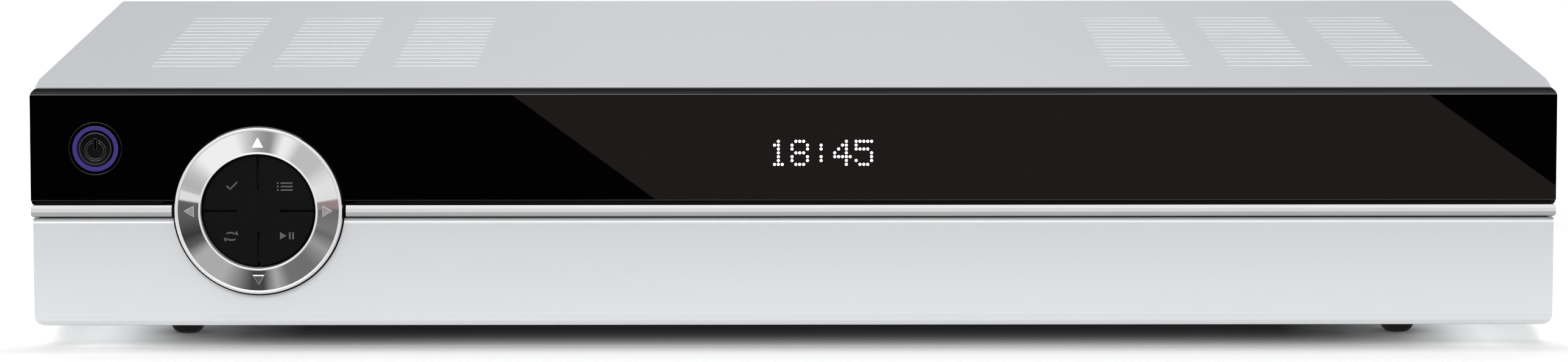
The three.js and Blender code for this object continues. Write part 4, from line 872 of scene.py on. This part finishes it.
# Front
def window_pane():
    """Gloss black window with a round chamfer at its top, cut for ring and power key."""
    low, high = pane_low, pane_high
    depth = high.y - low.y
    chamfer, slant, under = 1.42 * MM, 1.33 * MM, 1.05 * MM
    power_cut, drum_cut = 6.65 * MM, dial_cut + 2.4 * MM
    groove = low.y + 1.8 * MM
    side_view = [
        (low.y + depth, low.z),
        (low.y + depth, high.z),
        (low.y + slant, high.z),
        (low.y + slant * 0.47, high.z - chamfer / 2),
        (low.y, high.z - chamfer),
        (low.y, low.z + under),
        (groove, low.z + under * 0.8),
        (groove, low.z),
    ]
    side_view = fillet(side_view, [0, 0, 0.2 * MM, 0, 0.5 * MM, 0.3 * MM, 0, 0], 5)
    pane = prism("window", side_view, "x", low.x, high.x)
    outline = rounded_rectangle(
        low.x, low.z, high.x, high.z, [0.6 * MM, 0.6 * MM, 2 * MM, 2 * MM], 8,
    )
    carve(pane, prism("outline", outline, "y", low.y - OVER, high.y + OVER), operation="INTERSECT")
    carve(
        pane,
        rod("dial_room", "y", dial_cut, low.y - OVER, high.y + OVER, dial_centre, 160),
        rod("power_room", "y", power_cut, low.y - OVER, high.y + OVER, power_centre, 96),
    )
    finished(pane, gloss, "root", ["display_window"], angle=30)
    # Painted shade: a matt black strip set in the groove under the pane, where the gap is only in
    # shadow.
    shade_strip = block(
        "window_shade_strip", (low.x + OVER, groove - 0.7 * MM, low.z),
        (high.x - OVER, groove - 0.05 * MM, low.z + under),
    )
    carve(shade_strip, rod(
        "dial_room", "y", drum_cut, low.y - OVER, high.y + OVER, dial_centre, 160,
    ))
    soften(shade_strip, 0.1 * MM, segments=1)
    finished(shade_strip, rubber, "root")


def trim_strip(name, end):
    """Mirror bright bar with a crease along its nose, round at its outer end."""
    low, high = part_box(name)
    behind_window, nose_share = 0.28 * MM, 0.435
    high.z += behind_window
    tall = high.z - low.z
    nose = low.z + tall * nose_share
    rise = (high.z - nose) / 2
    side_view = [
        (high.y, low.z),
        (high.y, high.z),
        (low.y + 0.95 * MM, high.z),
        (low.y + 0.4 * MM, nose + rise),
        (low.y, nose),
        (low.y + 0.55 * MM, low.z + 0.35 * MM),
        (low.y + 1.1 * MM, low.z),
    ]
    side_view = fillet(side_view, [0, 0, 0.15 * MM, 0, 0, 0.1 * MM, 0.1 * MM], 5)
    bar = prism(name + "_bar", side_view, "x", low.x, high.x)
    outer, inner = 0.7 * MM, 0.02 * MM
    radii = [outer, inner, inner, outer] if end == LEFT else [inner, outer, outer, inner]
    outline = rounded_rectangle(low.x, low.z, high.x, high.z, radii, 6)
    carve(bar, prism("outline", outline, "y", low.y - OVER, high.y + OVER), operation="INTERSECT")
    carve(bar, rod("dial_room", "y", dial_cut, low.y - OVER, high.y + OVER, dial_centre, 160))
    finished(bar, chrome, "root", [name])


def flap_panel():
    """Lacquered flap with a rolled upper edge and a turned-in lower edge."""
    low, high = flap_low, flap_high
    y, z = low.y, low.z
    wall = 1.5 * MM
    side_view = [
        (y + wall, z + 3.2 * MM),
        (y + wall, high.z),
        (y, high.z),
        (y, z + 2.85 * MM),
        (y + 0.18 * MM, z + 1.2 * MM),
        (y + 0.9 * MM, z),
        (y + 3 * MM, z),
        (y + 3 * MM, z + wall),
        (y + 1.9 * MM, z + wall),
    ]
    radii = [0.6, 0.1, 1.35, 0.12, 1.5, 0.5, 0, 0, 0.4]
    side_view = fillet(side_view, [radius * MM for radius in radii], 6)
    skin = prism("flap_panel", side_view, "x", low.x, high.x)
    extras = []
    lug_radius = 3 * MM
    axis_y, axis_z = y + lug_radius, z + lug_radius
    lug, back = 4 * MM, 0.8 * MM
    for x0, x1 in ((low.x, low.x + lug), (high.x - lug, high.x)):
        extras.append(rod("lug", "x", lug_radius, x0, x1, (0, axis_y, axis_z), 40))
    for x0, x1 in ((low.x, low.x + back), (high.x - back, high.x)):
        extras.append(block(
            "return", (x0, y + wall / 2, axis_z + 2.7 * MM), (x1, y + 3.9 * MM, high.z - 0.8 * MM),
        ))
    count, half_rib = 9, 0.6 * MM
    pitch = (high.x - low.x) / (count + 1)
    for i in range(1, count + 1):
        x = low.x + i * pitch
        if abs(x - dial_centre.x) > dial_cut + 2 * half_rib:
            extras.append(block(
                "rib", (x - half_rib, y + wall / 2, axis_z + lug_radius),
                (x + half_rib, y + 2.9 * MM, high.z - wall),
            ))
    for extra in extras:
        carve(skin, extra, operation="UNION")
    outline = rounded_rectangle(
        low.x, low.z, high.x, high.z, [2.5 * MM, 2.5 * MM, 0.3 * MM, 0.3 * MM], 10,
    )
    carve(skin, prism("outline", outline, "y", low.y - OVER, high.y + OVER), operation="INTERSECT")
    bore = 1.5 * MM
    carve(
        skin,
        rod("bore", "x", bore, low.x + OVER, low.x + lug + OVER, (0, axis_y, axis_z), 32),
        rod("bore", "x", bore, high.x - lug - OVER, high.x - OVER, (0, axis_y, axis_z), 32),
        rod("dial_room", "y", dial_cut, low.y - OVER, high.y + OVER, dial_centre, 160),
    )
    finished(skin, lacquer, "flap", ["front_flap"])


def navigation_ring():
    """Mirror bright ring: a cone between two round rims, and a satin arrow on each quarter."""
    outer, bore, back = 20.5, 13.95, 1.5
    profile = [
        (outer, back),
        (outer, -0.7),
        (outer - 0.2, -1.6),
        (outer - 0.28, -1.95),
        (outer - 0.92, -1.95),
        (outer - 1.02, -1.62),
        (bore + 0.52, -2.72),
        (bore + 0.42, -3.0),
        (bore, -3.0),
        (bore, back),
    ]
    radii = [0, 0.2, 0.1, 0.16, 0.22, 0, 0, 0.2, 0.2, 0]
    section = scaled(fillet(profile, radii, 5))
    section.append(section[0])
    ring = turned("ring", section, dial_centre, sides=192)
    finished(ring, ring_chrome, "nav_control", ["nav_ring"], angle=25)
    tilt, sunk = math.atan2(1.1, 4.98), 0.09
    at = 16.7
    depth = -1.62 - (outer - 1.02 - at) * math.tan(tilt)
    outline = scaled([(-1.4, -1.2), (1.4, -1.2), (0, 1.45)])
    arrows = []
    for quarter in range(4):
        arrow = prism("arrow", outline, "y", -0.22 * MM, 0.5 * MM)
        soften(arrow, 0.16 * MM, edge_at(lambda co: co.y < -0.2 * MM), segments=2)
        turn = Matrix.Rotation(quarter * math.pi / 2, 4, "Y")
        lean = Matrix.Rotation(-tilt - sunk, 4, "X")
        on_cone = Matrix.Translation(Vector((0, depth, at)) * MM) @ lean
        arrow.data.transform(Matrix.Translation(dial_centre) @ turn @ on_cone)
        arrows.append(arrow)
    finished(merged("ring_arrows", arrows), satin, "nav_control", angle=25)


def key_pad():
    """Matt pad: a fixed hub and four petals round it."""
    radius, hub, slit, beyond = 13.4 * MM, 5.2 * MM, 0.62 * MM, 20 * MM
    front, back, edge = -1.2 * MM, 0.8 * MM, 0.3 * MM
    section = fillet([(0, front), (radius, front), (radius, back), (0, back)], [0, edge, 0, 0], 5)
    hub_section = [(0, front), (hub, front), (hub, back), (0, back)]
    centre_disc = turned("pad_centre", hub_section, dial_centre, sides=64)
    finished(centre_disc, rubber, "root", ["pad_hub"])
    quarters = {
        "upper_left": (-1, 1), "upper_right": (1, 1),
        "lower_left": (-1, -1), "lower_right": (1, -1),
    }
    for name, (sx, sz) in quarters.items():
        petal = turned("petal_" + name, section, dial_centre, sides=128)
        carve(petal, rod(
            "hub_room", "y", hub, front_y - 3 * OVER, front_y + 3 * OVER, dial_centre, 64,
        ))
        xs = sorted((dial_centre.x + sx * slit / 2, dial_centre.x + sx * beyond))
        zs = sorted((dial_centre.z + sz * slit / 2, dial_centre.z + sz * beyond))
        quarter = block(
            "quarter", (xs[0], front_y - 5 * OVER, zs[0]), (xs[1], front_y + 5 * OVER, zs[1]),
        )
        carve(petal, quarter, operation="INTERSECT")
        soften(
            petal, 0.14 * MM,
            edge_at(lambda co: co.y < front_y - 1.1 * MM
                    and (co - dial_centre).xz.length > hub + 0.02 * MM),
            segments=2, angle=60,
        )
        smooth(petal)
        petal.data.materials.clear()
        petal.data.materials.append(rubber)
        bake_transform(petal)
        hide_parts("key_" + name)


def key_symbols():
    """Printed symbols: a tick, a list, a swap of two arrows, and play with pause."""
    pad_face, proud, sunk = front_y - 1.2 * MM, 0.03 * MM, 0.05 * MM
    y0, y1 = pad_face - proud, pad_face + sunk

    def bar(x, z, wide, tall, turn=0.0):
        made = block(
            "bar", (-wide / 2 * MM, y0, -tall / 2 * MM), (wide / 2 * MM, y1, tall / 2 * MM),
        )
        turn_to = Matrix.Rotation(math.radians(turn), 4, "Y")
        made.data.transform(Matrix.Translation((x * MM, 0, z * MM)) @ turn_to)
        return made

    def triangle(x, z, size, turn):
        outline = []
        for corner in range(3):
            angle = math.radians(turn + corner * 120)
            outline.append(((x + size * math.cos(angle)) * MM, (z + size * math.sin(angle)) * MM))
        return prism("triangle", outline, "y", y0, y1)

    def arc(x, z, radius, wide, start, end):
        outline, steps = [], 10
        for reach, first, last in (
            (radius + wide / 2, start, end), (radius - wide / 2, end, start),
        ):
            for k in range(steps + 1):
                angle = math.radians(first + (last - first) * k / steps)
                u, v = x + reach * math.cos(angle), z + reach * math.sin(angle)
                outline.append((u * MM, v * MM))
        return prism("arc", outline, "y", y0, y1)

    tick = [bar(-7.2, 5.65, 1.3, 0.34, 45), bar(-5.95, 6.15, 2.5, 0.34, -45)]
    lines = [bar(6.9, 5.9 + step * 0.85, 2.9, 0.32) for step in (-1, 0, 1)]
    lines += [bar(4.75, 5.9 + step * 0.85, 0.4, 0.4) for step in (-1, 0, 1)]
    swap = [
        arc(-6.85, -7.35, 2.0, 0.36, 52, 118), triangle(-5.4, -5.55, 0.62, -38),
        arc(-6.55, -5.15, 2.0, 0.36, 232, 298), triangle(-8.0, -6.95, 0.62, 142),
    ]
    play = [triangle(5.7, -6.1, 1.05, 0), bar(7.55, -6.1, 0.4, 1.7), bar(8.35, -6.1, 0.4, 1.7)]
    for name, parts in (
        ("upper_left", tick), ("upper_right", lines), ("lower_left", swap), ("lower_right", play),
    ):
        symbol = merged("symbol_" + name, parts)
        symbol.data.transform(Matrix.Translation((dial_centre.x, 0, dial_centre.z)))
        finished(symbol, printed, "petal_" + name)


def power_key():
    """Light ring, thin surround, and a round key with the on symbol in raised beads."""
    front = -0.1
    surround = [
        (6.5, 6.0), (6.5, front + 0.02), (6.28, front + 0.02),
        (6.2, front + 0.3), (5.57, front + 0.3), (5.57, 6.0),
    ]
    surround = scaled(fillet(surround, [0, 0.1, 0.08, 0, 0, 0], 4))
    bezel = turned("power_bezel", surround + surround[:1], power_centre)
    finished(bezel, gloss, "root", ["power_surround"])
    light = [(5.55, 10.0), (5.55, front), (4.5, front), (4.5, 10.0)]
    light = scaled(fillet(light, [0, 0.08, 0.08, 0], 4))
    glow = turned("power_glow", light + light[:1], power_centre)
    finished(glow, violet, "root", ["power_light_ring"])
    cap = [(0, front), (3.6, front), (3.68, front - 0.12), (3.97, front - 0.12), (3.97, 2), (0, 2)]
    cap = scaled(fillet(cap, [0, 0.04, 0.08, 0.14, 0, 0], 4))
    button = turned("power_cap", cap, power_centre)
    finished(button, key_gloss, "power_key", ["power_button"], angle=30)
    proud, wide = 0.14, 0.13
    arc_centre = power_centre + Vector((0, 0, -0.46)) * MM
    parts = []
    for radius in (2.54, 2.04):
        bead = [
            (radius - wide, 0.1), (radius - wide, front - proud),
            (radius + wide, front - proud), (radius + wide, 0.1),
        ]
        section = scaled(fillet(bead, [0, wide, wide, 0], 3))
        bead = turned("bead", section + section[:1], arc_centre, sides=72)
        notch = block(
            "notch", power_centre + Vector((-0.75, -2, 0)) * MM,
            power_centre + Vector((0.75, 2, 4)) * MM,
        )
        parts.append(carve(bead, notch))
    stroke_low = power_centre + Vector((-0.43, front - proud, -0.27)) * MM
    stroke_high = power_centre + Vector((0.43, 0.1, 2.6)) * MM
    stroke = block("stroke", stroke_low, stroke_high)
    soften(stroke, 0.12 * MM, edge_at(lambda co: co.y < power_centre.y - 0.15 * MM))
    inner = Vector((wide, 0, wide)) * MM
    hollow = block(
        "hollow", stroke_low + inner - Vector((0, OVER, 0)),
        stroke_high - inner - Vector((0, 0.2 * MM, 0)),
    )
    parts.append(carve(stroke, hollow))
    finished(merged("power_symbol", parts), key_gloss, "power_key", angle=30)


# White dots of the display, five wide and seven high for each figure
figures = {
    "1": ["..#..", ".##..", "..#..", "..#..", "..#..", "..#..", ".###."],
    "8": [".###.", "#...#", "#...#", ".###.", "#...#", "#...#", ".###."],
    "4": ["...#.", "..##.", ".#.#.", "#..#.", "#####", "...#.", "...#."],
    "5": ["#####", "#....", "####.", "....#", "....#", "#...#", ".###."],
    ":": [".....", "..#..", "..#..", ".....", "..#..", "..#..", "....."],
}


def display_figures(text="18:45"):
    """Lit dots that show through the window."""
    pitch, dot = 0.938 * MM, 0.37 * MM
    step = 5.18 * MM
    centre_x = middle("display_module").x
    centre_z = middle("display_module").z
    bpy.ops.object.select_all(action="DESELECT")
    thick, proud = 0.05 * MM, 0.03 * MM
    lit = turned("dot", [(0, 0), (dot, 0), (dot, thick), (0, thick)], (0, 0, 0), sides=12)
    made = []
    for place, figure in enumerate(text):
        left = centre_x + (place - len(text) / 2) * step + 0.2 * MM
        for row, line in enumerate(figures[figure]):
            for column, mark in enumerate(line):
                if mark == "#":
                    x = left + column * pitch
                    z = centre_z + (3 - row) * pitch
                    made.append(copied(lit, "dot", (x, front_y - proud, z)))
    bpy.data.objects.remove(lit)
    finished(merged("display_dots", made), dots, "root")


def screws():
    """Pan heads with a cross recess, on the cover's sides and rear lip."""
    head, shank, proud, recess = 3.0, 1.5, 1.7, 0.28
    shape = [(0, -5), (shank, -5), (shank, 0), (head, 0), (head, 0.75), (1.6, proud), (0, proud)]
    shape = fillet(shape, [0, 0.3, 0, 0.1, 0.5, 0.6, 0], 4)
    places = {
        "left_front": "x", "left_rear": "x", "right_front": "x", "right_rear": "x",
        "back_left": "y", "back_right": "y",
    }
    for name, axis in places.items():
        node = "cover_screw_" + name
        low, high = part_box(node)
        out = -1 if "left_" in name else 1
        seat = middle(node)
        if axis == "x":
            edge = low.x + proud * MM if out < 0 else high.x - proud * MM
            seat.x = edge + out * cover_flare * 0.8
        else:
            seat.y = high.y - proud * MM
        profile = scaled([(across, along * out) for across, along in shape])
        screw = turned("screw_" + name, profile, seat, axis=axis, sides=32)
        for wide, tall in ((recess, 1.7), (1.7, recess)):
            if axis == "x":
                size = Vector((0.9, wide, tall)) * MM
                centre = seat + Vector((out * proud, 0, 0)) * MM
            else:
                size = Vector((wide, 0.9, tall)) * MM
                centre = seat + Vector((0, proud, 0)) * MM
            carve(screw, block("recess", centre - size, centre + size))
        finished(screw, nickel, "root", [node], angle=30)


def feet():
    """Cone feet, each with a peg into the base."""
    for name in node_finishes[tread]:
        low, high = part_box(name)
        base = (low.x + high.x) / 2, (low.y + high.y) / 2, low.z
        profile = [(0, 0), (2.6, 0), (3.4, 0.6), (7, 6), (2.2, 6), (2.2, 8.4), (0, 8.4)]
        section = scaled(fillet(profile, [0, 0.8, 1.2, 0.3, 0.2, 0.3, 0], 5))
        foot = turned(name + "_rubber", section, base, axis="z", sides=48)
        finished(foot, tread, "root", [name])


top_cover()
window_pane()
trim_strip("trim_strip_left", LEFT)
trim_strip("trim_strip_right", RIGHT)
flap_panel()
navigation_ring()
key_pad()
key_symbols()
power_key()
display_figures()
screws()
feet()


# Stage
def floor():
    """Pale floor, its shade partly painted. Gloss and metal see a studio's panels in it."""
    bpy.ops.object.select_all(action="DESELECT")
    bpy.ops.mesh.primitive_plane_add(size=12, location=(0, 0, -0.02 * MM))
    ground = active("floor")
    made = bpy.data.materials.new("floor")
    made.use_nodes = True
    shader = Nodes(made.node_tree)
    made.node_tree.nodes.clear()
    path = shader.node("LightPath").socket.node
    camera_ray = Wire(path.outputs["Is Camera Ray"])
    glossy_ray = Wire(path.outputs["Is Glossy Ray"])
    x, y, _ = (axis / MM for axis in shader.axes())
    # Millimetres under the case, from its front or back and from its nearer end
    inside = (y - front_y / MM).math("MINIMUM", cover_high.y / MM - y)
    end_x = cover_high.x / MM - abs(x)
    inner = inside.math("MINIMUM", end_x * 0.6)
    # Paleness by place: painted shadow under the case and painted light near its ends, chosen
    # against the shadow in the photograph
    middle_levels = [
        (-20, 1.17), (-8, 1.13), (0, 1.0), (4, 1.0), (8, 1.03), (12, 1.22), (16, 1.25), (20, 0.8),
        (24, 0.43), (29, 0.22), (36, 0.11), (44, 0.07), (60, 0.04),
    ]
    end_levels = [
        (-12, 0.0), (-2, 0.15), (4, 0.6), (8, 1.15), (10, 1.9), (13, 3.0), (15, 4.3), (19, 5.6),
        (28, 6.1), (60, 6.1),
    ]
    shares = [
        (-40, 0), (-15, 0.06), (-4, 0.18), (0, 0.27), (5, 0.58), (10, 0.85), (14, 1.0), (20, 0.88),
        (26, 0.57), (35, 0.25), (50, 0.07), (64, 0.01),
    ]
    middle_pale = shader.levels(inner, middle_levels, -20, 60, 2)
    end_pale = shader.levels(inside, end_levels, -20, 60, 7)
    end_share = shader.levels(end_x, shares, -40, 80)
    pale = middle_pale + end_pale * end_share
    matt = shader.node("BsdfDiffuse", {"Color": shader.mix(camera_ray, rgb(0.9), pale)})

    # What is mirrored: near the front, below the ring, and far ahead in the window
    ahead = front_y / MM - y
    near_levels = [(0, 0.3), (38.4, 0.85), (96, 1.0), (176, 0.5), (288, 0.06), (320, 0.02)]
    near = shader.levels(ahead, near_levels, 0, 320)
    # Panels worked back by computation from readings of the ring in the photograph
    panels = [
        (-256, 0.12), (-228, 0.1), (-197, 0.045), (-182, 0.12), (-170, 0.47), (-149, 0.47),
        (-143, 0.31), (-135, 0.065), (-130, 0.065), (-124.5, 0.46), (-119, 0.19), (-106, 0.18),
        (-92, 0.37), (-85, 0.25), (-78, 0.16), (-68, 0.22), (-10, 0.16),
    ]
    dial_side = shader.levels(x, panels, -300, 0)
    beside, zone_start, zone_slope = abs(x - dial_centre.x / MM + 2), 10, 0.9
    dial_zone = (ahead > 12) * (ahead > beside * zone_slope + zone_start)
    card = shader.mix(dial_zone, near, dial_side)
    dark_start, dark_end, dark_side = 300, 645, -256
    window_zone = (ahead > dark_start) * (x > dark_side)
    card = shader.mix(window_zone, card, rgb(0.002))
    # The band's two edges, worked back by computation from places in the photograph
    left_slope, left_edge, right_slope, right_edge = 0.1728, 16.5, 0.0365, 240.6
    band = (x + ahead * left_slope > left_edge) * (x + ahead * right_slope < right_edge)
    card = shader.mix(band * window_zone, card, rgb((0.33, 0.262, 0.258)))
    beyond = ((ahead > dark_end) + (ahead > 560) * (x < dark_side)).math("MINIMUM", 1.0)
    card = shader.mix(beyond, card, rgb(0.85))
    mirror = shader.node("Emission", {"Color": card, "Strength": 1.0})
    surface = shader.node("MixShader", {0: glossy_ray, 1: matt, 2: mirror})
    output = made.node_tree.nodes.new("ShaderNodeOutputMaterial")
    connect(surface, output.inputs["Surface"])
    ground.data.materials.append(made)


def surroundings():
    """White studio. Gloss and metal see upright light panels and a graded ceiling."""
    world = bpy.data.worlds.new("studio")
    scene.world = world
    world.use_nodes = True
    sky = Nodes(world.node_tree)
    world.node_tree.nodes.clear()
    path = sky.node("LightPath").socket.node
    camera_ray = Wire(path.outputs["Is Camera Ray"])
    glossy_ray = Wire(path.outputs["Is Glossy Ray"])
    clear_ray = Wire(path.outputs["Is Transmission Ray"])
    direct = (camera_ray + clear_ray).math("MINIMUM", 1.0)
    x, y, z = sky.axes(sky.node("TexCoord"))
    # Panels worked back by computation from readings of the ring in the photograph
    panels = [
        (-0.56, 0.62), (-0.53, 0.5), (-0.49, 0.62), (-0.43, 1.0), (-0.22, 1.0), (-0.16, 0.7),
        (-0.08, 0.38), (-0.03, 0.28), (0.01, 0.28), (0.085, 1.0), (0.125, 0.96), (0.18, 0.58),
        (0.29, 0.58), (0.35, 0.87),
    ]
    low = sky.levels(x / abs(y), panels, -0.6, 0.4)
    panel_top = 0.42
    high_levels = [
        (panel_top, 0.75), (0.8, 0.78), (0.84, 0.84), (0.945, 1.15), (0.965, 1.0), (0.98, 0.42),
        (1, 0.32),
    ]
    high = sky.levels(z, high_levels, 0, 1, 2)
    bright = sky.mix(z < panel_top, high, sky.mix(y > 0, low, rgb(0.6)))
    lit = sky.mix(glossy_ray, rgb(0.55), bright)
    shade = sky.mix(direct, lit, rgb(1.0))
    background = sky.node("Background", {"Color": shade, "Strength": 1.0})
    output = world.node_tree.nodes.new("ShaderNodeOutputWorld")
    connect(background, output.inputs["Surface"])


def lamp(name, place, aim, size, power):
    data = bpy.data.lights.new(name, "AREA")
    data.shape = "RECTANGLE"
    data.size, data.size_y = size
    data.energy = power
    light = bpy.data.objects.new(name, data)
    light.location = place
    direction = Vector(aim) - Vector(place)
    light.rotation_euler = direction.to_track_quat("-Z", "Y").to_euler()
    scene.collection.objects.link(light)


floor()
surroundings()
lamp("overhead", (0, 0.75, 1.6), (0, 0, 0), (2.0, 1.3), 8)
lamp("front", (-0.3, -2.2, 1.3), (0, 0, 0.03), (1.8, 0.9), 33)
scene.view_settings.view_transform = "Standard"
